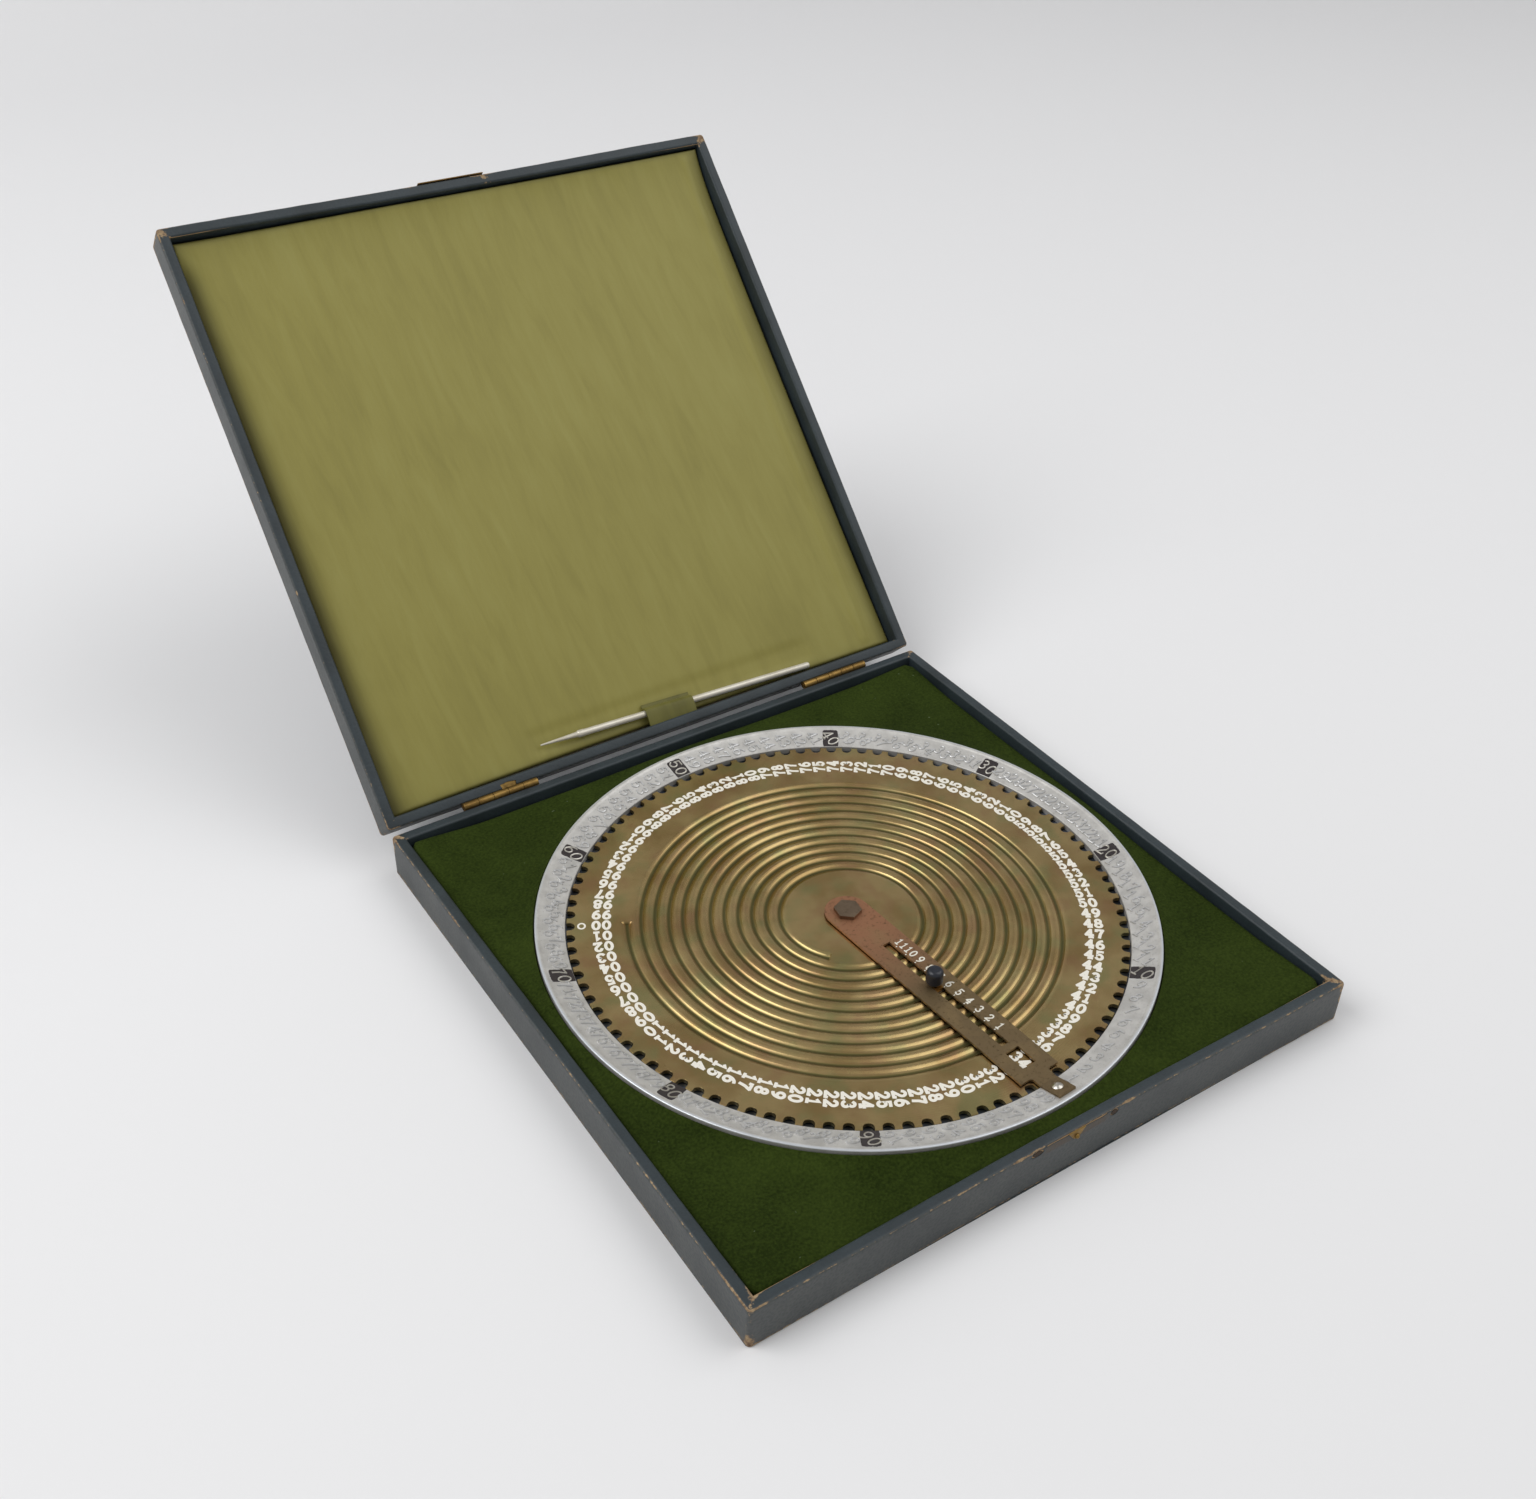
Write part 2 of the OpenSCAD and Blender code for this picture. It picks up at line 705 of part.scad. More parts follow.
// Fabric loop: a foot on the silk, an arch over the stylus, and a flat strap to the back wall
module stylus_loop() {
  inner = stylus_r + loop_play;
  outer = inner + loop_t;
  sole = -stylus_r;
  middle = (loop_x - stylus_x) / cos(stylus_slant);
  back = tip_in - middle * sin(stylus_slant) - soft_gap - loop_len / 2 * sin(stylus_slant);
  color(silk) along_stylus() translate([middle - loop_len / 2, 0, 0]) rotate([90, 0, 90])
    linear_extrude(loop_len) {
      difference() {
        circle(outer);
        circle(inner);
        translate([-2 * outer, -2 * outer]) square([2 * outer, 4 * outer]);
        translate([-2 * outer, -4 * outer]) square([4 * outer, 4 * outer]);
      }
      translate([inner, sole]) square([loop_t, -sole + fit]);
      translate([inner, sole]) square([loop_t + loop_foot, loop_t]);
      translate([-back, inner]) square([back + fit, loop_t]);
    }
}

// Dial

// Places a piece in the frame of the arm: +X outwards along the arm
module on_arm() {
  rotate([0, 0, arm_angle]) children();
}

// Places a piece on the sloping face of the ring, under the arm's tongue
module at_rivet() {
  on_arm() translate([rivet_at, 0, ring_in_z + (rivet_at - ring_in_r) * tan(ring_slope)])
    rotate([0, -ring_slope, 0]) children();
}

module backing_plate() {
  color(nickel) difference() {
    translate([0, 0, plate_z]) cylinder(r = plate_r, h = plate_t);
    translate([0, 0, plate_z - cut]) cylinder(r = foot_r + fit, h = plate_t + 2 * cut);
  }
}

// Numbered ring: one pressed sheet, with its bottom edge turned in under the backing plate
module dial_ring() {
  color(nickel) difference() {
    rotate_extrude()
      polygon([
        [ring_in_r, plate_top], [ring_in_r, ring_in_z], [cone_out_r, cone_out_z],
        [cone_out_r + lip_rise, crest_z], [ring_r - lip_rise, crest_z],
        [ring_r - lip_rise * 0.3, crest_z - lip_rise * 0.3], [ring_r, crest_z - lip_rise],
        [ring_r, bed_z], [ring_r - crimp_w, bed_z], [ring_r - crimp_w, plate_z],
        [ring_r - sheet_t, plate_z], [ring_r - sheet_t, cone_out_z - sheet_t],
        [ring_in_r + sheet_t, ring_in_z - sheet_t], [ring_in_r + sheet_t, plate_top]
      ]);
    at_rivet() translate([0, 0, -sheet_t - cut]) cylinder(r = rivet_r + fit, h = sheet_t + 2 * cut);
  }
}

module centre_post() {
  color(nickel) difference() {
    union() {
      translate([0, 0, plate_z]) cylinder(r = foot_r, h = plate_t);
      translate([0, 0, plate_top]) cylinder(r = post_r, h = arm_z - plate_top);
    }
    translate([0, 0, plate_top]) cylinder(r = screw_r + fit, h = arm_z);
  }
}

module friction_washer() {
  color("#8f8a80") translate([0, 0, plate_top]) difference() {
    cylinder(r = washer_r, h = washer_t);
    translate([0, 0, -cut]) cylinder(r = post_r + disc_gap, h = washer_t + 2 * cut);
  }
}

module centre_screw() {
  color("#5d4c3c") {
    translate([0, 0, plate_top + fit]) cylinder(r = screw_r, h = arm_top - plate_top);
    translate([0, 0, arm_top]) rotate([0, 0, screw_head_turn])
      cylinder(d = screw_head_w, h = screw_head_h, $fn = 6);
  }
}

// Outline of the flat part of the arm
module arm_outline() {
  difference() {
    union() {
      circle(arm_w / 2);
      translate([0, -arm_w / 2]) square([arm_end, arm_w]);
      translate([0, -tongue_w / 2]) square([ring_in_r, tongue_w]);
      for (side = [-1, 1]) scale([1, side]) difference() {
        translate([arm_end - fit, tongue_w / 2 - fit]) square(arm_fillet + fit);
        translate([arm_end + arm_fillet, tongue_w / 2 + arm_fillet]) circle(arm_fillet);
      }
    }
    circle(screw_r + fit);
    translate([slot_in, -slot_w / 2]) square([slot_out - slot_in, slot_w]);
    translate([window_r - window_l / 2, -window_w / 2]) square([window_l, window_w]);
  }
}

// Counter arm: flat over the disc, with a tongue that climbs the sloping ring
module counter_arm() {
  rise = (tongue_end - ring_in_r) * tan(ring_slope);
  back = arm_t * sin(ring_slope);
  color(bronze) difference() {
    on_arm() {
      translate([0, 0, arm_z]) linear_extrude(arm_t) arm_outline();
      rotate([90, 0, 0]) translate([0, 0, -tongue_w / 2]) linear_extrude(tongue_w)
        polygon([
          [ring_in_r - cut, arm_z], [ring_in_r, arm_z], [tongue_end, arm_z + rise],
          [tongue_end - back, arm_z + rise + arm_t * cos(ring_slope)],
          [ring_in_r - back / 2, arm_top], [ring_in_r - cut, arm_top]
        ]);
    }
    at_rivet() translate([0, 0, -cut]) cylinder(r = rivet_r + fit, h = arm_t + seat + 2 * cut);
  }
}

module arm_rivet() {
  head_ball = (rivet_head_r * rivet_head_r + rivet_head_h * rivet_head_h) / (2 * rivet_head_h);
  color(nickel) at_rivet() {
    translate([0, 0, -sheet_t]) cylinder(r = rivet_r, h = sheet_t + seat + arm_t + 2 * fit);
    translate([0, 0, arm_t + seat + fit]) intersection() {
      translate([0, 0, rivet_head_h - head_ball]) sphere(head_ball);
      cylinder(r = rivet_head_r + cut, h = head_ball);
    }
  }
}

// Adding disc

quarter_step = spiral_pitch / 4;

// Centre of one quarter turn of the spiral: the corners of a small square, in turn
function quarter_centre(k) =
  [k % 4 < 2 ? quarter_step / 2 : -quarter_step / 2,
   (k + 1) % 4 < 2 ? -quarter_step / 2 : quarter_step / 2];

// Spiral groove, from its outer end at angle 0 inwards, as quarter turns that meet smoothly
module spiral_groove() {
  quarters = ceil(spiral_turns * 4);
  for (k = [0 : quarters - 1]) {
    r = spiral_r - quarter_step / 2 - k * quarter_step;
    translate([quarter_centre(k)[0], quarter_centre(k)[1], disc_top - groove_d])
      rotate([0, 0, 90 * k]) rotate_extrude(angle = min(90, (spiral_turns * 4 - k) * 90))
        translate([r - groove_w / 2, 0]) square([groove_w, groove_d + cut]);
  }
  for (end = [0, spiral_turns])
    rotate([0, 0, 360 * end]) translate([spiral_r - spiral_pitch * end, 0, disc_top - groove_d])
      cylinder(d = groove_w + quarter_step * 0.1, h = groove_d + cut);
}

module adding_disc() {
  color(brass) rotate([0, 0, disc_turn]) difference() {
    translate([0, 0, disc_z]) linear_extrude(disc_t) difference() {
      circle(disc_r);
      circle(bush_r + fit);
      for (k = [0 : places - 1]) rotate(k * place_angle) {
        translate([disc_r - notch_depth + notch_r, 0]) circle(notch_r);
        translate([disc_r - notch_depth + notch_r, -notch_r]) square([notch_depth, 2 * notch_r]);
      }
    }
    spiral_groove();
  }
}

module disc_bush() {
  color(brass) translate([0, 0, disc_z]) difference() {
    cylinder(r = bush_r, h = disc_t);
    translate([0, 0, -cut]) cylinder(r = post_r + 2 * fit, h = disc_t + 2 * cut);
  }
}

// Hundreds slider: a block in the arm's slot, with a stem for the bead
module hundreds_slider() {
  width = slot_w - 2 * slider_play;
  length = slider_nose + slider_tail;
  color(brass) on_arm() difference() {
    union() {
      translate([pin_at - slider_tail, -width / 2, slider_z])
        cube([length, width, slider_roof - slider_z]);
      translate([bead_at, 0, slider_z])
        cylinder(r = stem_r, h = bead_z - slider_z + bead_h * 0.6);
    }
    for (k = [1, 2])
      translate([pin_at + slider_nose * k * 0.4, -width, slider_roof - slider_top * 0.6])
        cube([slider_nose * 0.12, 2 * width, slider_top]);
    translate([pin_at, 0, slider_z - cut]) cylinder(r = follower_r + fit, h = cut + arm_t * 0.7);
  }
}

// Follower pin: runs in the spiral groove, with a collar that keeps the slider under the arm
module follower_pin() {
  tip_z = disc_top - groove_d * 0.8;
  color(nickel) on_arm() translate([pin_at, 0, 0]) {
    translate([0, 0, tip_z]) cylinder(r = follower_r, h = slider_z + arm_t * 0.6 - tip_z);
    translate([0, 0, collar_z]) cylinder(r = collar_r, h = collar_top - collar_z);
  }
}

module slider_bead() {
  color("#20242f") on_arm() translate([bead_at, 0, bead_z]) difference() {
    rotate_extrude() intersection() {
      square([bead_r, bead_h]);
      union() {
        square([bead_r - bead_round, bead_h]);
        translate([0, bead_round]) square([bead_r, bead_h - 2 * bead_round]);
        for (z = [bead_round, bead_h - bead_round])
          translate([bead_r - bead_round, z]) circle(bead_round);
      }
    }
    translate([0, 0, -cut]) cylinder(r = stem_r + fit, h = cut + bead_h * 0.65);
  }
}

base_board();
base_front_wall();
base_back_wall();
base_left_wall();
base_right_wall();
base_covering();
base_underside();
bed_board();
velvet_pad();
left_base_leaf();
right_base_leaf();
left_hinge_pin();
right_hinge_pin();
base_leaf_nails();
catch_tab();
catch_pin();
lid_board();
lid_front_wall();
lid_back_wall();
lid_left_wall();
lid_right_wall();
lid_covering();
lining_card();
silk_pad();
left_lid_leaf();
right_lid_leaf();
lid_leaf_nails();
keeper_strip();
stylus_loop();
backing_plate();
dial_ring();
centre_post();
friction_washer();
centre_screw();
counter_arm();
arm_rivet();
adding_disc();
disc_bush();
hundreds_slider();
follower_pin();
slider_bead();
stylus();
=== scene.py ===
"""Dresses a circular adder, in its hinged and velvet-lined case, for the camera."""

import json
import logging
import math
from dataclasses import dataclass, field
from enum import Enum
from typing import Callable, Sequence

import bmesh
import bpy
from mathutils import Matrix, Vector, noise


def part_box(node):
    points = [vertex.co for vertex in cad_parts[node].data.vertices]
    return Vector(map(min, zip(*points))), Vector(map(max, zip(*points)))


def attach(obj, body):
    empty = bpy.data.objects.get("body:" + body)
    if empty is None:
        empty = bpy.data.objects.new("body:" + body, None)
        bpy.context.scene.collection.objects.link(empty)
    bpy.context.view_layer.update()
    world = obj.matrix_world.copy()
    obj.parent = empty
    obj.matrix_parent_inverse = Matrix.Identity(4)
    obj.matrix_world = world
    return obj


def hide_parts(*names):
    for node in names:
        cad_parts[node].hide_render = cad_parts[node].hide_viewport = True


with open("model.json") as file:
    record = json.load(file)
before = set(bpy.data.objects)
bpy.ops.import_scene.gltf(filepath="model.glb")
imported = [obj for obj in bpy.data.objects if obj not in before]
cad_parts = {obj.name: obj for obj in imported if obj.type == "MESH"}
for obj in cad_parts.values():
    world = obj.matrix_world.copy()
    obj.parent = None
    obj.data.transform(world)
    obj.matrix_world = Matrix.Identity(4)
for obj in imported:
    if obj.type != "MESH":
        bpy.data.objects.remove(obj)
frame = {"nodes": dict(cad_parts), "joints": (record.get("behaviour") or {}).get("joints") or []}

LOG = logging.getLogger("circular_adder")
MM = 0.001
# Smallest radius, in millimetres, of a turned end
SPIKE = 0.004

Point = tuple[float, float, float]
Flat = tuple[float, float]
Face = tuple[int, ...]
Place = Callable[[float, float, float], Point]
Socket = bpy.types.NodeSocket


class Body(Enum):
    """Rigid bodies that pieces ride on."""

    CASE = "case"
    LID = "lid"
    DISC = "disc"
    SLIDER = "slider"
    STYLUS = "stylus"


def linear(hex_colour: str) -> tuple[float, float, float, float]:
    """Turns an sRGB hex colour to the linear colour that shaders take.

    Args:
        hex_colour: A colour such as "#8a6f45".

    Returns:
        Red, green, blue and an alpha of 1.
    """
    channels = [int(hex_colour[i : i + 2], 16) / 255 for i in (1, 3, 5)]
    red, green, blue = (c / 12.92 if c <= 0.04045 else ((c + 0.055) / 1.055) ** 2.4 for c in channels)
    return red, green, blue, 1.0


def per_size(millimetres: float) -> float:
    """Returns the texture scale, in features per metre, for features of that size."""
    return 1 / (millimetres * MM)


def smoothstep(value: float, low: float, high: float) -> float:
    """Returns 0 below low, 1 above high, and a smooth change between."""
    t = min(max((value - low) / (high - low), 0.0), 1.0)
    return t * t * (3 - 2 * t)


def ripple(x: float, y: float, size: float, seed: float = 0.0) -> float:
    """Returns smooth noise from -1 to 1 over a plane.

    Args:
        x: Place across, in millimetres.
        y: Place along, in millimetres.
        size: Width of one wave, in millimetres.
        seed: Offset that picks another pattern.

    Returns:
        The height of the noise.
    """
    return noise.noise(Vector((x / size, y / size, seed)))


# Shader nodes and materials

class Surface:
    """A material that is being built, with short ways to add its nodes.

    Patterns take their scale from real sizes in millimetres.
    """

    def __init__(self, name: str) -> None:
        """Starts the material.

        Args:
            name: The material's name.
        """
        self.material = bpy.data.materials.new(name)
        self.material.use_nodes = True
        self.tree = self.material.node_tree
        self.shader = self.tree.nodes["Principled BSDF"]
        self.place = self.add("TexCoord", "Object")

    def add(
        self, kind: str, output: str | int, settings: dict | None = None, links: dict | None = None
    ) -> Socket:
        """Adds one shader node with its settings and links.

        Args:
            kind: The node's type without its "ShaderNode" start.
            output: The name or number of the output to return.
            settings: Values by the name of a property or of an input.
            links: Output sockets by the name or number of the input that they feed.

        Returns:
            The output's socket.
        """
        node = self.tree.nodes.new("ShaderNode" + kind)
        for name, value in (settings or {}).items():
            if isinstance(name, str) and hasattr(node, name):
                setattr(node, name, value)
            else:
                node.inputs[name].default_value = value
        for name, socket in (links or {}).items():
            self.tree.links.new(node.inputs[name], socket)
        return node.outputs[output]

    def noise(
        self,
        size_mm: float,
        detail: float = 5.0,
        rough: float = 0.5,
        warp: float = 0.0,
        place: Socket | None = None,
    ) -> Socket:
        """Adds cloudy noise.

        Args:
            size_mm: The size of its patches.
            detail: The number of finer layers.
            rough: The strength of the finer layers.
            warp: How far it is drawn out of shape.
            place: The place to read it at, if that isn't the object's own.

        Returns:
            The noise.
        """
        settings = {"Scale": per_size(size_mm), "Detail": detail, "Roughness": rough, "Distortion": warp}
        return self.add("TexNoise", "Fac", settings, {"Vector": self.place if place is None else place})

    def ramp(self, value: Socket, low: float, high: float, start: float = 0.0, end: float = 1.0) -> Socket:
        """Takes the range from low to high to the range from start to end, and stops at its ends."""
        settings = {"From Min": low, "From Max": high, "To Min": start, "To Max": end}
        return self.add("MapRange", 0, settings, {"Value": value})

    def mix(self, share: Socket, first: str | Socket, second: str | Socket) -> Socket:
        """Mixes two colours, each given as sRGB hex or as a socket.

        Args:
            share: The second colour's share.
            first: The first colour.
            second: The second colour.

        Returns:
            The mixed colour.
        """
        colours = {"Color1": first, "Color2": second}
        settings = {name: linear(colour) for name, colour in colours.items() if isinstance(colour, str)}
        links = {name: colour for name, colour in colours.items() if not isinstance(colour, str)}
        return self.add("MixRGB", 0, settings, {"Fac": share, **links})

    def maths(self, operation: str, *values: float | Socket) -> Socket:
        """Combines numbers and sockets.

        Args:
            operation: The Math node's operation.
            values: A number or a socket for each input.

        Returns:
            The result.
        """
        numbers = {index: value for index, value in enumerate(values) if isinstance(value, float)}
        links = {index: value for index, value in enumerate(values) if not isinstance(value, float)}
        return self.add("Math", 0, {"operation": operation, **numbers}, links)

    def marked(self, attribute: str) -> Socket:
        """Reads a value that the mesh's points carry."""
        return self.add("Attribute", "Fac", {"attribute_name": attribute})

    def finish(
        self,
        colour: Socket,
        relief: Socket,
        strength: float,
        roughness: float | Socket,
        depth_mm: float = 0.1,
        **values: float,
    ) -> bpy.types.Material:
        """Feeds the main shader.

        Args:
            colour: The base colour.
            relief: The height of the fine relief.
            strength: The strength of the relief.
            roughness: The roughness, as a number or a socket.
            depth_mm: The depth of the relief.
            values: The shader's other inputs, with _ for a space.

        Returns:
            The finished material.
        """
        settings = {"Strength": strength, "Distance": depth_mm * MM}
        bump = self.add("Bump", 0, settings, {"Height": relief})
        inputs = self.shader.inputs
        self.tree.links.new(inputs["Base Color"], colour)
        self.tree.links.new(inputs["Normal"], bump)
        if isinstance(roughness, float):
            inputs["Roughness"].default_value = roughness
        else:
            self.tree.links.new(inputs["Roughness"], roughness)
        for name, value in values.items():
            inputs[name.replace("_", " ")].default_value = value
        return self.material


@dataclass(frozen=True)
class Leatherette:
    """Paper-backed leatherette, calendered with a fine grain and varnished.

    It gives a dark slate sheen with a pebbled break-up. The outer faces are dulled by handling, and rubbed
    edges show the tan backing. The grain is drawn coarser than the real one, so that it shows.
    """

    name: str = "leatherette"
    cloth: str = "#2c363b"
    shade: str = "#20292d"
    handled: str = "#555653"
    soil: str = "#4a3f33"
    backing: str = "#a58e6d"
    stain: str = "#5e4431"
    grain_mm: float = 0.7
    tone_mm: float = 14.0
    tear_mm: float = 1.3

    def material(self) -> bpy.types.Material:
        """Builds the material."""
        s = Surface(self.name)
        tone = s.noise(self.tone_mm, detail=6.0)
        pebbles = {"Scale": per_size(self.grain_mm), "feature": "SMOOTH_F1"}
        grain = s.add("TexVoronoi", "Distance", pebbles, {"Vector": s.place})
        cloth = s.mix(s.ramp(tone, 0.3, 0.6), self.shade, self.cloth)
        dulled = s.maths("MULTIPLY", s.marked("handled"), s.ramp(tone, 0.2, 0.7, 0.35, 0.75))
        cloth = s.mix(dulled, cloth, self.handled)
        cloth = s.mix(s.ramp(grain, 0.55, 0.2, 0.0, 0.35), cloth, self.shade)
        tear = s.noise(self.tear_mm, detail=8.0, rough=0.65)
        # On the leatherette this mask is soil only, round the catch.
        soiled_and_shaded = s.maths("MULTIPLY", s.marked("soil"), s.ramp(tear, 0.3, 0.55, 0.55, 1.0))
        cloth = s.mix(soiled_and_shaded, cloth, self.soil)
        worn = s.ramp(s.maths("ADD", tear, s.marked("wear")), 0.98, 1.1)
        colour = s.mix(worn, cloth, s.mix(s.ramp(tear, 0.35, 0.65), self.stain, self.backing))
        relief = s.maths("MULTIPLY_ADD", worn, -1.5, grain)
        return s.finish(colour, relief, 0.25, s.ramp(worn, 0.0, 1.0, 0.5, 0.85), 0.2)


@dataclass(frozen=True)
class Velvet:
    """Cotton velvet, woven and cut to a short upright pile: dark, with a paler bloom where it leans.

    Its tufts are drawn coarser than the real pile, so that they show.
    """

    name: str = "velvet"
    deep: str = "#1d2806"
    bloom: str = "#323f13"
    lint: str = "#76836a"
    sheen: str = "#93a860"
    nap_mm: float = 24.0
    tuft_mm: float = 0.7
    lint_mm: float = 1.6

    def material(self) -> bpy.types.Material:
        """Builds the material."""
        s = Surface(self.name)
        pile = s.maths("MULTIPLY_ADD", s.noise(self.tuft_mm, 4.0), 1.2, s.noise(self.nap_mm, 7.0, warp=0.6))
        cloth = s.mix(s.ramp(pile, 0.8, 1.4), self.deep, self.bloom)
        colour = s.mix(s.ramp(s.noise(self.lint_mm, 1.0), 0.8, 0.84, 0.0, 0.5), cloth, self.lint)
        return s.finish(
            colour, pile, 0.6, 0.95, 0.3,
            Specular_IOR_Level=0.1, Sheen_Weight=0.07, Sheen_Roughness=0.35, Sheen_Tint=linear(self.sheen),
        )


@dataclass(frozen=True)
class WateredSilk:
    """Ribbed silk, pressed wet between rollers: a satin cloth with long wavy bands across the ribs.

    Its ribs are drawn coarser than the real ones, so that they show.
    """

    name: str = "watered_silk"
    base: str = "#8c8543"
    light: str = "#918b4a"
    dark: str = "#857e3e"
    # Colour of the painted shade along the silk's edges.
    soil: str = "#3e3a1c"
    sheen: str = "#c9c48a"
    rib_mm: float = 0.9
    band_mm: float = 4.5
    band_squeeze: float = 0.14
    patch_mm: float = 45.0
    slant: float = math.radians(4)

    def material(self) -> bpy.types.Material:
        """Builds the material. Its pattern runs over the cloth as it lies flat, by the attribute lay."""
        s = Surface(self.name)
        flat = s.add("Attribute", "Vector", {"attribute_name": "lay"})
        turned_to = s.add("Mapping", 0, {"Rotation": (0.0, 0.0, self.slant)}, {"Vector": flat})
        drawn = s.add("Mapping", 0, {"Scale": (1.0, self.band_squeeze, 1.0)}, {"Vector": turned_to})
        bands = s.noise(self.band_mm, 5.0, 0.6, 0.5, drawn)
        water = s.maths("MULTIPLY_ADD", s.noise(self.patch_mm, 3.0, place=flat), 0.6, bands)
        colour = s.mix(s.ramp(water, 0.8, 1.1), self.base, self.light)
        colour = s.mix(s.ramp(water, 0.8, 0.55), colour, self.dark)
        # Painted shade along the silk's edges and its left wall, from the mask that the silk lining carries;
        # the strap has none.
        colour = s.mix(s.marked("soil"), colour, self.soil)
        settings = {"Scale": per_size(self.rib_mm) / math.tau, "bands_direction": "X"}
        settings.update({"Distortion": 0.4, "Detail": 1.0})
        ribs = s.add("TexWave", "Fac", settings, {"Vector": flat})
        return s.finish(
            colour, ribs, 0.12, 0.48,
            Specular_IOR_Level=0.3, Sheen_Weight=0.18, Sheen_Tint=linear(self.sheen),
        )


@dataclass(frozen=True)
class Metal:
    """Sheet or turned metal with a patina: two tones in blotches, spots of dirt, and fine scratches."""

    name: str
    base: str
    patina: str
    dirt: str
    roughness: float
    blotch_mm: float = 12.0
    spot_mm: float = 1.5
    dirt_share: float = 0.3
    scratch_mm: float = 0.25
    bump: float = 0.05
    metallic: float = 1.0
    # Colour where the metal is rubbed bright, and of the painted highlight along the ring's lip.
    polish: str = "#d3d8de"

    def material(self) -> bpy.types.Material:
        """Builds the material. Where its bright mask is 1, the metal is coloured bright and clean: partly
        rubbed bright, partly a painted highlight.
        """
        s = Surface(self.name)
        tone = s.mix(s.ramp(s.noise(self.blotch_mm, 6.0), 0.35, 0.65), self.base, self.patina)
        dirty = s.ramp(s.noise(self.spot_mm, 6.0, 0.7), 0.72 - self.dirt_share * 0.3, 0.85, 0.0, 0.8)
        polished_and_highlit = s.marked("polish")
        colour = s.mix(polished_and_highlit, s.mix(dirty, tone, self.dirt), self.polish)
        rough = s.ramp(dirty, 0.0, 1.0, self.roughness, min(self.roughness + 0.3, 1.0))
        rough = s.maths("MULTIPLY_ADD", polished_and_highlit, -0.2, rough)
        return s.finish(colour, s.noise(self.scratch_mm, 2.0), self.bump, rough, Metallic=self.metallic)


@dataclass(frozen=True)
class TurnedBrass:
    """Rolled brass, faced on a lathe and lacquered: fine rings of tool marks, browned and greened with age.

    The tool marks are drawn coarser than the real ones, so that they show.
    """

    name: str = "turned_brass"
    base: str = "#b69f6f"
    brown: str = "#9f8659"
    green: str = "#8f9463"
    rose: str = "#a57e5e"
    dirt: str = "#484a2c"
    blotch_mm: float = 14.0
    ring_mm: float = 0.35
    spot_mm: float = 1.2
    roughness: float = 0.27

    def material(self) -> bpy.types.Material:
        """Builds the material. Its rings run round the centre of the disc."""
        s = Surface(self.name)
        tints = s.noise(self.blotch_mm * 0.6, 3.0)
        tone = s.mix(s.ramp(s.noise(self.blotch_mm), 0.4, 0.62), self.base, self.brown)
        tone = s.mix(s.ramp(tints, 0.52, 0.7, 0.0, 0.5), tone, self.green)
        tone = s.mix(s.ramp(tints, 0.46, 0.32, 0.0, 0.45), tone, self.rose)
        spots = s.ramp(s.noise(self.spot_mm, 6.0, 0.7), 0.66, 0.78)
        dirty = s.maths("MAXIMUM", spots, s.marked("hollow"))
        colour = s.mix(dirty, tone, self.dirt)
        settings = {"wave_type": "RINGS", "rings_direction": "Z", "Scale": per_size(self.ring_mm) / math.tau}
        settings.update({"Distortion": 1.5, "Detail": 3.0, "Detail Scale": 2.0})
        rings = s.add("TexWave", "Fac", settings, {"Vector": s.place})
        rough = s.ramp(dirty, 0.0, 1.0, self.roughness, 0.75)
        return s.finish(colour, rings, 0.02, rough, Metallic=1.0)


@dataclass(frozen=True)
class WornLacquer:
    """Brass strip, dipped in brown lacquer: rubbed to copper near the screw, and olive further out."""

    name: str = "worn_lacquer"
    copper: str = "#a17457"
    olive: str = "#776549"
    rubbed: str = "#97805a"
    dark: str = "#42351f"
    copper_mm: float = 14.0
    olive_mm: float = 38.0
    blotch_mm: float = 7.0
    spot_mm: float = 1.1

    def material(self) -> bpy.types.Material:
        """Builds the material."""
        s = Surface(self.name)
        reach = s.add("VectorMath", "Value", {"operation": "LENGTH"}, {0: s.place})
        tone = s.mix(s.ramp(reach, self.copper_mm * MM, self.olive_mm * MM), self.copper, self.olive)
        tone = s.mix(s.ramp(s.noise(self.blotch_mm, 6.0), 0.5, 0.75, 0.0, 0.5), tone, self.rubbed)
        spots = s.noise(self.spot_mm, 5.0, 0.7)
        colour = s.mix(s.ramp(spots, 0.54, 0.72, 0.0, 0.8), tone, self.dark)
        return s.finish(colour, spots, 0.1, 0.5, Metallic=0.8)


@dataclass(frozen=True)
class Enamel:
    """Stoving enamel or paint, brushed into place and rubbed with use: even, a little glossy, with chips."""

    name: str
    base: str
    worn: str
    roughness: float = 0.4
    chip_mm: float = 0.9
    chip_start: float = 0.62

    def material(self) -> bpy.types.Material:
        """Builds the material."""
        s = Surface(self.name)
        chips = s.noise(self.chip_mm, 5.0, 0.7)
        colour = s.mix(s.ramp(chips, self.chip_start, self.chip_start + 0.15), self.base, self.worn)
        return s.finish(colour, chips, 0.08, self.roughness)


@dataclass(frozen=True)
class Board:
    """Thin planed board or pressed card: dull, with long soft grain."""

    name: str
    base: str
    streak: str
    grain_mm: float = 1.5
    grain_squeeze: float = 0.08

    def material(self) -> bpy.types.Material:
        """Builds the material."""
        s = Surface(self.name)
        along = s.add("Mapping", 0, {"Scale": (self.grain_squeeze, 1.0, 1.0)}, {"Vector": s.place})
        grain = s.noise(self.grain_mm, place=along)
        return s.finish(s.mix(grain, self.base, self.streak), grain, 0.1, 0.8)


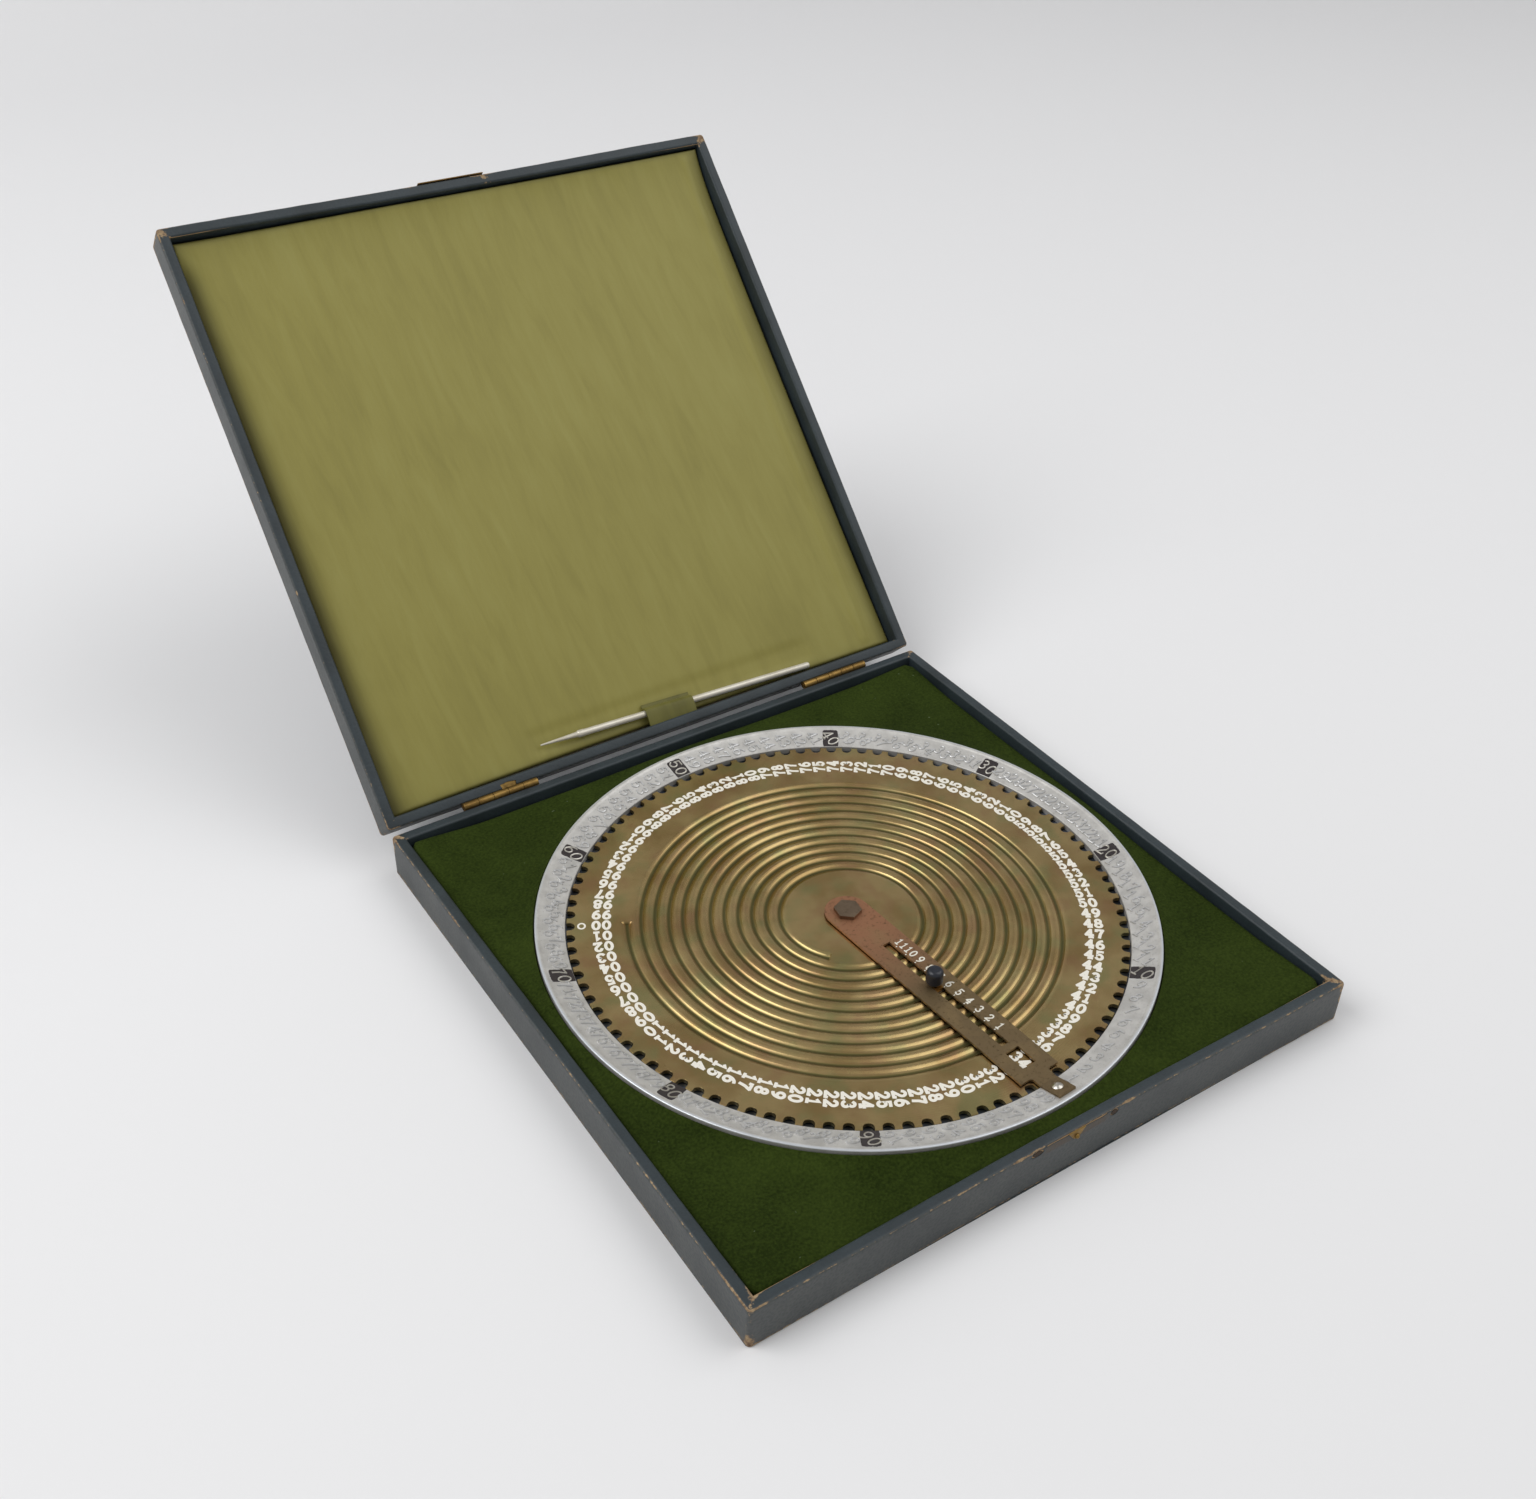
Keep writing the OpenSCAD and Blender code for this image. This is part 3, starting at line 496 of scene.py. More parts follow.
# Nickel plate over pressed sheet: pale, flecked grey where it has thinned, and dulled by handling.
NICKEL_SHEET = Metal(
    "nickel_sheet", base="#cfcdc9", patina="#bbb9b5", dirt="#6f6b65", roughness=0.45,
    blotch_mm=4.0, spot_mm=0.7, dirt_share=0.5, scratch_mm=0.6, bump=0.3, metallic=0.5,
)
# The same plate on the tray behind the disc, coloured dark and bluish as painted shade for the dark it lies
# in, with dusty spots.
TRAY_NICKEL = Metal(
    "tray_nickel", base="#5a6270", patina="#3c424d", dirt="#1c1f25", roughness=0.35,
    blotch_mm=6, dirt_share=0.5,
)
# Tops of the pressed numbers, coloured brighter than the ring: partly the plate rubbed bright by fingers and
# cloth, partly a painted highlight on the raised figures.
RAISED_NUMERALS = Metal(
    "raised_numerals", base="#d2d2d2", patina="#c0c0bf", dirt="#8c8984", roughness=0.33,
    blotch_mm=2.0, dirt_share=0.3, metallic=0.6,
)
# The tens, rubbed clear of the enamel round them: warmer, with dirt left in the corners.
RUBBED_NUMERALS = Metal(
    "rubbed_numerals", base="#cfccc4", patina="#b3afa6", dirt="#5b564e", roughness=0.35,
    dirt_share=0.3, metallic=0.7,
)
# Thick polished plate on the turned stylus: warm white, almost without marks.
STYLUS_NICKEL = Metal(
    "stylus_nickel", base="#ddd8cb", patina="#cbc4b3", dirt="#8a8270", roughness=0.36,
    blotch_mm=9, dirt_share=0.2, bump=0.01, metallic=0.4,
)
# Head of a hammered rivet, plated: the brightest metal.
BRIGHT_RIVET = Metal(
    "bright_rivet", base="#d8d4cc", patina="#bdb7ac", dirt="#7b7266", roughness=0.3, dirt_share=0.2
)
# Turned steel, heat-browned and handled: dull brown with dark spots.
BROWNED_STEEL = Metal(
    "browned_steel", base="#8c7a66", patina="#6e5e4e", dirt="#3a3027", roughness=0.4, dirt_share=0.6
)
# Drawn steel wire, left bare: grey.
PIN_STEEL = Metal("pin_steel", base="#8c8880", patina="#6f6a62", dirt="#3b3833", roughness=0.4)
# Filed brass, bright where it slides.
SLIDER_BRASS = Metal(
    "slider_brass", base="#b8935a", patina="#97733f", dirt="#4d3a20", roughness=0.36, dirt_share=0.4
)
# Stamped brass hinge, never cleaned: brown, with dirt in its corners.
HINGE_BRASS = Metal(
    "hinge_brass", base="#a2844c", patina="#7c6238", dirt="#3f321e", roughness=0.4, dirt_share=0.8
)
# Stamped brass of the catch, darkened by sweat and glue.
CATCH_BRASS = Metal(
    "catch_brass", base="#7d6238", patina="#5c4527", dirt="#30261a", roughness=0.5, dirt_share=0.7
)
# Brushed paint in the disc's figures, yellowed and chipped.
CREAM_PAINT = Enamel(
    "cream_paint", base="#e9e5da", worn="#a79a7e", roughness=0.6, chip_mm=0.8, chip_start=0.66
)
# Thin paint of the arm's scale, rubbed by the slider's bead.
WHITE_PAINT = Enamel(
    "white_paint", base="#dedacd", worn="#9d8a6c", roughness=0.6, chip_mm=0.7, chip_start=0.62
)
# Enamel that was brushed under every tenth number: near black, with the brown of its primer.
BLACK_ENAMEL = Enamel("black_enamel", base="#2b2425", worn="#4a3431", roughness=0.35)
# Turned bead, polished: blue-black and glossy.
BLACK_GLASS = Enamel("black_glass", base="#191d27", worn="#262b35", roughness=0.33, chip_start=0.7)
# Bare wood in the torn prong marks, stained by the glue.
STAINED_WOOD = Enamel("stained_wood", base="#3b2d20", worn="#6a5234", roughness=0.8)
# Thin sawn boards of the case.
PLANED_BOARD = Board("planed_board", base="#b3946b", streak="#8d6f49")
# Pressed card under the linings.
PRESSED_CARD = Board("pressed_card", base="#9c8f78", streak="#857963")
# The lid's silk in the strap, darkened by handling.
STRAP_SILK = WateredSilk("strap_silk", base="#625f29", light="#696530", dark="#575423")


# Meshes, in millimetres

class MeshBuilder:
    """Collects points and faces in millimetres, and makes one object of them."""

    def __init__(self, name: str) -> None:
        """Starts an empty mesh.

        Args:
            name: The piece's name.
        """
        self.name = name
        self.points: list[Point] = []
        self.faces: list[Face] = []
        self.values: dict[str, list] = {}

    def add(self, points: Sequence[Point], faces: Sequence[Face]) -> None:
        """Adds points and the faces between them.

        Args:
            points: The new points.
            faces: The faces, by the numbers of the new points.
        """
        start = len(self.points)
        self.points.extend(points)
        self.faces.extend(tuple(i + start for i in face) for face in faces)

    def mark(self, attribute: str, values: Sequence) -> None:
        """Adds one value for each point, numbers or triples, for a material to read."""
        self.values.setdefault(attribute, []).extend(values)

    def build(
        self,
        material: bpy.types.Material,
        body: Body,
        slot: str,
        replaces: Sequence[str] = (),
        sharp: float = 40.0,
    ) -> bpy.types.Object:
        """Makes the object, and puts it on its body.

        Args:
            material: The finish.
            body: The body that it rides on.
            slot: The record's material slot; not used.
            replaces: The solids that it stands for.
            sharp: The angle in degrees above which an edge stays sharp.

        Returns:
            The object.
        """
        mesh = bpy.data.meshes.new(self.name)
        mesh.from_pydata([tuple(c * MM for c in p) for p in self.points], [], self.faces)
        for name, values in self.values.items():
            kind = "FLOAT_VECTOR" if isinstance(values[0], tuple) else "FLOAT"
            layer = mesh.attributes.new(name, kind, "POINT")
            if kind == "FLOAT":
                layer.data.foreach_set("value", values)
            else:
                layer.data.foreach_set("vector", [c for v in values for c in v])
        mesh.materials.append(material)
        tidy_mesh(mesh, sharp)
        piece = bpy.data.objects.new(self.name, mesh)
        bpy.context.scene.collection.objects.link(piece)
        return settle(piece, body, replaces)


def tidy_mesh(mesh: bpy.types.Mesh, sharp: float) -> None:
    """Turns the faces outwards and shades them smooth up to an angle.

    Args:
        mesh: The mesh to change.
        sharp: The angle in degrees above which an edge stays sharp.
    """
    face_outwards(mesh)
    mesh.shade_smooth()
    mesh.set_sharp_from_angle(angle=math.radians(sharp))
    mesh.validate()


def face_outwards(mesh: bpy.types.Mesh) -> None:
    """Turns all faces of a mesh outwards.

    Args:
        mesh: The mesh to change.
    """
    work = bmesh.new()
    work.from_mesh(mesh)
    bmesh.ops.recalc_face_normals(work, faces=work.faces)
    work.to_mesh(mesh)
    work.free()


def settle(piece: bpy.types.Object, body: Body, replaces: Sequence[str]) -> bpy.types.Object:
    """Puts a piece on its body and the solids that it stands for.

    Args:
        piece: The finished object.
        body: The body that it rides on.
        replaces: The solids that it stands for.

    Returns:
        The piece.
    """
    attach(piece, body.value)
    if replaces:
        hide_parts(*replaces)
    LOG.info("%s: %d faces on %s", piece.name, len(piece.data.polygons), body.value)
    return piece


def loft(
    loops: Sequence[Sequence[Point]], round_loops: bool, round_row: bool
) -> tuple[list[Point], list[Face]]:
    """Joins loops of equal length with four-sided faces.

    Args:
        loops: The loops of points, in order.
        round_loops: Whether each loop closes on itself.
        round_row: Whether the last loop joins the first.

    Returns:
        The points and the faces.
    """
    size = len(loops[0])
    points = [p for loop in loops for p in loop]
    faces = []
    for row in range(len(loops) - (0 if round_row else 1)):
        here, there = row * size, (row + 1) % len(loops) * size
        for i in range(size - (0 if round_loops else 1)):
            j = (i + 1) % size
            faces.append((here + i, there + i, there + j, here + j))
    return points, faces


def capped(loops: Sequence[Sequence[Point]]) -> tuple[list[Point], list[Face]]:
    """Joins round loops into a closed shape, with a flat face at either end.

    Args:
        loops: The loops of points, in order.

    Returns:
        The points and the faces.
    """
    points, faces = loft(loops, True, False)
    size = len(loops[0])
    return points, faces + [tuple(range(size)), tuple(range(len(points) - size, len(points)))]


def turned(profile: Sequence[Flat], steps: int) -> tuple[list[Point], list[Face]]:
    """Turns a closed outline round the Z axis.

    Args:
        profile: Radius and height of each corner of the outline.
        steps: The number of steps round.

    Returns:
        The points and the faces.
    """
    loops = []
    for i in range(steps):
        angle = math.tau * i / steps
        loops.append([(r * math.cos(angle), r * math.sin(angle), z) for r, z in profile])
    return loft(loops, True, True)


def arc(centre: Flat, radius: Flat, start: float, end: float, steps: int) -> list[Flat]:
    """Returns points on part of an ellipse.

    Args:
        centre: Its centre.
        radius: Its half width and half height.
        start: The first angle in degrees.
        end: The last angle in degrees.
        steps: The number of steps between them.

    Returns:
        The points, with both ends.
    """
    angles = [math.radians(start + (end - start) * i / steps) for i in range(steps + 1)]
    return [(centre[0] + radius[0] * math.cos(a), centre[1] + radius[1] * math.sin(a)) for a in angles]


def ellipse(centre: Flat, radius: Flat, count: int) -> list[Flat]:
    """Returns points round a whole ellipse, by its centre and its half width and half height."""
    return arc(centre, radius, 0, 360 - 360 / count, count - 1)


def round_over(from_edge: float, radius: float) -> float:
    """Returns how far a padded edge of that radius drops, at a distance from its end."""
    return radius - math.sqrt(max(radius**2 - (radius - min(from_edge, radius)) ** 2, 0.0))


def unmoved(x: float, y: float, z: float) -> Point:
    """Leaves a point of the base where it is."""
    return x, y, z


# Numerals

def glyph_strokes() -> dict[str, list[list[Flat]]]:
    """Returns the strokes of each digit, in a box one wide and one high.

    A stroke that ends where it starts is closed.
    """
    return {
        "0": [arc((0.5, 0.5), (0.44, 0.5), 0, 360, 20)],
        "1": [[(0.2, 0.8), (0.5, 1.0), (0.5, 0.0)], [(0.2, 0.0), (0.8, 0.0)]],
        "2": [
            arc((0.48, 0.72), (0.4, 0.28), 170, -40, 10) + [(0.06, 0.0)],
            [(0.06, 0.0), (0.94, 0.0), (0.98, 0.14)],
        ],
        "3": [
            arc((0.46, 0.755), (0.36, 0.245), 155, -90, 10) + arc((0.46, 0.255), (0.44, 0.255), 90, -155, 12),
        ],
        "4": [
            [(0.7, 0.0), (0.7, 1.0)],
            [(0.7, 1.0), (0.02, 0.3)],
            [(0.02, 0.3), (1.0, 0.3)],
            [(0.45, 0.0), (0.95, 0.0)],
        ],
        "5": [[(0.88, 1.0), (0.2, 1.0), (0.14, 0.52)] + arc((0.46, 0.32), (0.42, 0.32), 135, -155, 12)],
        "6": [
            arc((0.5, 0.3), (0.42, 0.3), 180, -180, 18),
            arc((0.82, 0.3), (0.74, 0.7), 180, 95, 8),
        ],
        "7": [[(0.04, 0.82), (0.06, 1.0), (0.96, 1.0)], [(0.96, 1.0), (0.58, 0.5), (0.42, 0.0)]],
        "8": [
            arc((0.5, 0.755), (0.34, 0.245), 0, 360, 16),
            arc((0.5, 0.255), (0.43, 0.255), 0, 360, 18),
        ],
        "9": [
            arc((0.5, 0.7), (0.42, 0.3), 0, 360, 18),
            arc((0.18, 0.7), (0.74, 0.7), 0, -85, 8),
        ],
    }


@dataclass(frozen=True)
class Numerals:
    """A size and weight of numerals, in millimetres."""

    width: float
    height: float
    advance: float
    stroke: float
    relief: float
    sink: float = 0.1
    lean: float = 0.0

    def write(self, text: str, place: Place) -> tuple[list[Point], list[Face]]:
        """Draws a number as raised strokes, centred on its place.

        Args:
            text: The digits.
            place: Gives the point for a place across, a place up and a height above the surface.

        Returns:
            The points and the faces.
        """
        strokes = glyph_strokes()
        points: list[Point] = []
        faces: list[Face] = []
        for index, digit in enumerate(text):
            left = (index - (len(text) - 1) / 2) * self.advance - self.width / 2
            for layer, line in enumerate(strokes[digit]):
                inner = [
                    (
                        left + self.stroke / 2 + x * (self.width - self.stroke) + (y - 0.5) * self.lean,
                        (self.stroke / 2 + y * (self.height - self.stroke)) - self.height / 2,
                    )
                    for x, y in line
                ]
                new_points, new_faces = self._solid(inner, self.relief + 0.012 * layer, place)
                faces.extend(tuple(i + len(points) for i in face) for face in new_faces)
                points.extend(new_points)
        return points, faces

    def _solid(self, line: list[Flat], relief: float, place: Place) -> tuple[list[Point], list[Face]]:
        """Gives a line the section of a raised stroke.

        Args:
            line: The line's points; it is closed where the last is the first.
            relief: The height of the stroke.
            place: Gives the point for a place across, a place up and a height above the surface.

        Returns:
            The points and the faces.
        """
        closed = math.dist(line[0], line[-1]) < 1e-6
        if closed:
            line = line[:-1]
        section = [(-0.5, -self.sink), (-0.5, 0.4 * relief), (-0.28, relief)]
        section += [(-t, h) for t, h in reversed(section)]
        loops = []
        count = len(line)
        for i, (x, y) in enumerate(line):
            before = line[(i - 1) % count] if closed or i > 0 else line[i]
            after = line[(i + 1) % count] if closed or i < count - 1 else line[i]
            into, out = _unit(before, (x, y)), _unit((x, y), after)
            into, out = into or out, out or into
            along = _unit((0.0, 0.0), (into[0] + out[0], into[1] + out[1])) or out
            turn = max(along[0] * out[0] + along[1] * out[1], 0.6)
            if not closed and i in (0, count - 1):
                reach = 0.3 * self.stroke * (-1 if i == 0 else 1)
                x, y = x + along[0] * reach, y + along[1] * reach
            across = (-along[1] * self.stroke / turn, along[0] * self.stroke / turn)
            loops.append([place(x + across[0] * t, y + across[1] * t, h) for t, h in section])
        points, faces = loft(loops, True, closed)
        if not closed:
            size = len(section)
            faces.append(tuple(range(size)))
            faces.append(tuple(reversed(range(len(points) - size, len(points)))))
        return points, faces


def _unit(start: Flat, end: Flat) -> Flat | None:
    """Returns the direction from start to end, or None where they are one point."""
    length = math.dist(start, end)
    return ((end[0] - start[0]) / length, (end[1] - start[1]) / length) if length > 1e-9 else None


# Sub-assemblies

@dataclass
class Case:
    """Leatherette-covered base and lid: the covering, boards, hinges and what is left of the catch."""

    rim_width: float = 3.3
    cover: float = 0.35
    corner_radius: float = 1.1
    rim_round: float = 0.75
    top_round: float = 1.1
    bow_out: float = 0.32
    bow_in: float = 0.22
    lining_depth: float = 6.0
    lid_thick: float = 2.75
    card_thick: float = 1.0
    silk_thick: float = 2.4
    half_width: float = field(init=False)
    half_depth: float = field(init=False)
    base_height: float = field(init=False)
    lid_rim: float = field(init=False)
    lid_top: float = field(init=False)
    open_angle: float = field(init=False)
    hinge: Flat = field(init=False)

    def __post_init__(self) -> None:
        """Reads the case's sizes and the hinge's place from the frame."""
        low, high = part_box("base_covering")
        self.half_width = (high.x - low.x) / 2 / MM
        self.half_depth = (high.y - low.y) / 2 / MM
        self.base_height = high.z / MM
        joint = next(j for j in frame["joints"] if j["name"] == "lid_hinge")
        self.hinge = (joint["pos_m"][1] / MM, joint["pos_m"][2] / MM)
        self.open_angle = math.radians(joint["range_deg"][1])
        self.lid_rim = 2 * self.hinge[1] - self.base_height
        shut = [self.shut(tuple(v.co / MM)) for v in frame["nodes"]["lid_covering"].data.vertices]
        self.lid_top = max(p[2] for p in shut)

    def opened(self, x: float, y: float, z: float) -> Point:
        """Takes a point of the shut lid to the open lid."""
        return self._swing((x, y, z), -self.open_angle)

    def shut(self, point: Point) -> Point:
        """Takes a point of the open lid back to the shut lid."""
        return self._swing(point, self.open_angle)

    def _swing(self, point: Point, angle: float) -> Point:
        """Turns a point about the hinge by an angle in radians."""
        across, up = point[1] - self.hinge[0], point[2] - self.hinge[1]
        cosine, sine = math.cos(angle), math.sin(angle)
        y = self.hinge[0] + across * cosine - up * sine
        return point[0], y, self.hinge[1] + across * sine + up * cosine

    def outline(self, inset: float) -> list[tuple[Flat, float]]:
        """Returns the outline of the case at a distance inside its faces.

        Args:
            inset: The distance from the outer faces.

        Returns:
            Each point, with its nearness to an upright corner, from 0 to 1.
        """
        side_steps, corner_steps = 120, 6
        wide, deep = self.half_width - inset, self.half_depth - inset
        radius = max(self.corner_radius - inset, 0.02)
        found = []
        for quarter in range(4):
            start = math.pi / 2 * quarter
            sx, sy = ((1, 1), (-1, 1), (-1, -1), (1, -1))[quarter]
            centre = (sx * (wide - radius), sy * (deep - radius))
            for i in range(corner_steps + 1):
                a = start + math.pi / 2 * i / corner_steps
                found.append(((centre[0] + radius * math.cos(a), centre[1] + radius * math.sin(a)), 1.0))
            nx, ny = ((-1, 1), (-1, -1), (1, -1), (1, 1))[quarter]
            following = (nx * (wide - radius), ny * (deep - radius))
            a = start + math.pi / 2
            first = (centre[0] + radius * math.cos(a), centre[1] + radius * math.sin(a))
            last = (following[0] + radius * math.cos(a), following[1] + radius * math.sin(a))
            run = math.dist(first, last)
            for i in range(1, side_steps):
                t = i / side_steps
                near = math.exp(-min(t, 1 - t) * run / 3.0)
                point = (first[0] + (last[0] - first[0]) * t, first[1] + (last[1] - first[1]) * t)
                found.append((point, near))
        return [((x, y + self._bow(x, y)), near) for (x, y), near in found]

    def _bow(self, x: float, y: float) -> float:
        """Returns how far the front wall bends in at its middle and out at its ends."""
        if y > -0.9 * self.half_depth:
            return 0.0
        t = x / self.half_width
        return self.bow_in - (self.bow_in + self.bow_out) * smoothstep(abs(t), 0.1, 1.0)

    def covering(
        self,
        name: str,
        section: Sequence[Point],
        place: Place,
        cap: tuple[int, ...],
        scuffs: Sequence[tuple[Point, float, float]],
    ) -> MeshBuilder:
        """Sweeps a section of the leatherette round the case.

        Args:
            name: The piece's name.
            section: Inset, height and rubbing of each corner of the section.
            place: Takes a point to its place.
            cap: The corners of the section whose loop is filled with a flat face.
            scuffs: Place, size and strength of each rubbed spot.

        Returns:
            The mesh, with its rubbing, handling and soil marked.
        """
        builder = MeshBuilder(name)
        loops, rubbed, handled, soiled_and_shaded = [], [], [], []
        for inset, z, rub in section:
            ring = []
            for (x, y), near in self.outline(inset):
                uneven = 0.07 * ripple(x + 3 * z, y, 6.0, 4.0)
                ring.append(place(x * (1 + uneven / self.half_width), y * (1 + uneven / self.half_depth), z))
                edge = 0.42 * near**2 if rub < 0.1 else rub * (0.75 + 0.4 * near) + 0.08 * near
                here = Vector((x, y, z))
                scuffed = sum(
                    strength * math.exp(-(((here - Vector(at)).length / size) ** 2))
                    for at, size, strength in scuffs
                )
                rubbed.append(edge + 0.1 * ripple(x, y, 25.0, 9.0) + scuffed)
                handled.append(smoothstep(inset, 0.7, 0.1) if inset < 1 else 0.0)
                catch = smoothstep(abs(x), 10.5, 8.5) * smoothstep(y, -92.0, -92.4)
                soiled_and_shaded.append(catch * smoothstep(abs(z - self.base_height + 1.5), 1.6, 1.0))
            loops.append(ring)
        points, faces = loft(loops, True, not cap)
        size = len(loops[0])
        faces.extend(tuple(range(row * size, (row + 1) * size)) for row in cap)
        builder.add(points, faces)
        builder.mark("wear", rubbed)
        builder.mark("handled", handled)
        builder.mark("soil", soiled_and_shaded)
        return builder

    def rim_section(self, rim: float, inward: int, foot: float, lining: float) -> list[Point]:
        """Returns the section over a rim, from the foot of the outer face to the lining.

        Args:
            rim: Height of the rim.
            inward: 1 where the wall is below the rim, and -1 where it is above.
            foot: Height of the outer face's other end.
            lining: Height at which the inner face stops.

        Returns:
            Inset, height and rubbing of each corner.
        """
        r = self.rim_round
        outer = [
            (r - r * math.cos(a), rim - inward * (r - r * math.sin(a)), math.sin(2 * a) ** 2)
            for a in self.quarter()
        ]
        inner = [
            (self.rim_width - r + r * math.sin(a), rim - inward * (r - r * math.cos(a)), math.sin(2 * a))
            for a in self.quarter()
        ]
        down = [(0.0, foot, 0.72), (0.0, foot + inward * 0.3, 0.68), (0.0, foot + inward * 0.6, 0.0)]
        down += [(0.0, (foot + rim) / 2, 0.0)] + [(0.0, rim - inward * d, 0.0) for d in (3.2, 2.5, 1.5)]
        rubbing = 0.68 if inward > 0 else 0.56
        section = down + [(i, z, rubbing * e) for i, z, e in outer]
        section += [(self.rim_width / 2, rim, 0.0)] + [(i, z, 0.35 * e) for i, z, e in inner]
        return section + [(self.rim_width, (rim + lining) / 2, 0.0), (self.rim_width, lining, 0.0)]

    def quarter(self) -> list[float]:
        """Returns the angles of a quarter round."""
        return [math.pi / 2 * i / 6 for i in range(7)]

    def build(self) -> None:
        """Builds the coverings and dresses the boards, hinges and catch."""
        leather = Leatherette().material()
        brass = HINGE_BRASS.material()
        dark = CATCH_BRASS.material()
        board = PLANED_BOARD.material()
        card = PRESSED_CARD.material()
        self._base(leather)
        self._lid(leather)
        dress(["base_underside"], leather)
        boards = ["board", "front_wall", "back_wall", "left_wall", "right_wall"]
        dress([f"{part}_{board_name}" for part in ("base", "lid") for board_name in boards], board)
        dress(["bed_board", "lining_card"], card)
        dress(["left_base_leaf", "right_base_leaf", "base_leaf_nails"], brass)
        dress(["left_hinge_pin", "right_hinge_pin"], brass)
        dress(["left_lid_leaf", "right_lid_leaf", "lid_leaf_nails", "catch_tab", "catch_pin"], brass)
        dress(["keeper_strip"], dark)

    def _cutters(self, piece: bpy.types.Object, cutters: Sequence[bpy.types.Object]) -> None:
        """Cuts shapes out of a piece and removes them.

        Args:
            piece: The object to cut.
            cutters: The cutting shapes.
        """
        for cutter in cutters:
            modifier = piece.modifiers.new("cut", "BOOLEAN")
            modifier.operation = "DIFFERENCE"
            modifier.object = cutter
            modifier.solver = "EXACT"
        bpy.context.view_layer.update()
        evaluated = piece.evaluated_get(bpy.context.evaluated_depsgraph_get())
        mesh = bpy.data.meshes.new_from_object(evaluated)
        piece.modifiers.clear()
        old, piece.data = piece.data, mesh
        bpy.data.meshes.remove(old)
        for cutter in cutters:
            bpy.data.objects.remove(cutter)
        mesh.shade_smooth()
        mesh.set_sharp_from_angle(angle=math.radians(40))

    def _hinge_cutters(self, place: Place, side: int) -> list[bpy.types.Object]:
        """Returns the room that the hinges' barrels and leaves take in a covering.

        Args:
            place: Takes a point to its place.
            side: -1 for the base, 1 for the lid.

        Returns:
            The cutting shapes.
        """
        room, leaf_reach, leaf_thick, end_gap = 1.4, 2.5, 0.5, 0.15
        cutters = []
        for node in ("left_hinge_pin", "right_hinge_pin"):
            low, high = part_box(node)
            left, right = low.x / MM, high.x / MM
            barrel = ellipse(self.hinge, (room, room), 16)
            cutters.append(_cutter([[place(x, y, z) for y, z in barrel] for x in (left, right)]))
            near = self.hinge[1] - side * (self.base_height - self.hinge[1]) + side * self.cover
            far = near + side * leaf_thick
            start = self.half_depth - leaf_reach
            box = [(start, near), (self.hinge[0], near), (self.hinge[0], far), (start, far)]
            loops = [[place(x, y, z) for y, z in box] for x in (left + end_gap, right - end_gap)]
            cutters.append(_cutter(loops))
        return cutters

    def _base(self, leather: bpy.types.Material) -> None:
        """Builds the covering of the base, cut for the hinges and the torn catch, with its prong marks.

        Args:
            leather: The leatherette's material.
        """
        foot, depth = self.cover, self.base_height - self.lining_depth
        section = self.rim_section(self.base_height, 1, foot, depth)
        inside = self.rim_width - self.cover
        section += [(inside, depth, 0.0), (inside, self.base_height - self.cover, 0.0)]
        section += [(self.cover, self.base_height - self.cover, 0.0), (self.cover, foot, 0.0)]
        wide, deep, rim = self.half_width, self.half_depth, self.base_height
        scuffs = [
            ((-wide + 3.2, -deep + 3.2, rim), 2.2, 0.36),
            ((-wide + 0.2, -deep + 10.0, rim - 0.2), 6.0, 0.2),
            ((-wide, -deep, 1.0), 1.8, 0.4),
            ((wide, -deep, rim - 1.0), 2.5, 0.35),
            ((wide - 3.2, -deep + 3.2, rim), 2.0, 0.4),
            ((-17.5, -deep, 12.3), 1.3, 0.5),
            ((16.5, -deep, 12.4), 1.5, 0.5),
            ((-12.5, -deep, 12.2), 2.0, 0.45),
            ((-40.0, -deep, 8.0), 0.8, 0.4),
            ((31.0, -deep, 6.5), 0.7, 0.4),
            ((62.0, -deep, 9.0), 0.9, 0.35),
            ((-wide, 52.0, 12.5), 3.0, 0.25),
            ((-wide, deep, rim - 0.5), 3.0, 0.5),
            ((wide, deep, rim), 2.5, 0.4),
        ]
        builder = self.covering("base_leatherette", section, unmoved, (), scuffs)
        piece = builder.build(leather, Body.CASE, "leatherette", ["base_covering"])
        cutters = self._hinge_cutters(unmoved, -1)
        front = -self.half_depth
        strip = [(-9.2, 12.2), (-7.6, 12.35), (-3.0, 12.15), (4.4, 12.3)]
        strip += [(8.1, 12.1), (9.5, 12.4), (9.5, 14.0), (-9.2, 14.0)]
        tab = [(-2.75, 12.6), (2.75, 12.6), (0.8, 9.85), (-0.8, 9.85)]
        left_hole = ellipse((-12.1, 11.6), (1.9, 0.95), 12)
        right_hole = ellipse((11.9, 11.6), (1.3, 1.0), 12)
        for shape in (strip, tab, left_hole, right_hole):
            cutters.append(_cutter([[(x, y, z) for x, z in shape] for y in (front - 2.0, front + 0.42)]))
        self._cutters(piece, cutters)
        marks = MeshBuilder("prong_marks")
        for x, z, radius in ((-12.1, 11.6, (1.5, 0.7)), (11.9, 11.6, (1.0, 0.75))):
            hole = ellipse((0.0, 0.0), radius, 18)
            torn = [(x + a * (1 + 0.2 * ripple(a, b, 0.7, x)), z + b) for a, b in hole]
            loops = [[(a, y, b) for a, b in torn] for y in (front + 0.5, front + 0.22)]
            points, faces = loft(loops, True, False)
            marks.add(points, faces + [tuple(range(len(torn), 2 * len(torn)))])
        marks.build(STAINED_WOOD.material(), Body.CASE, "board")

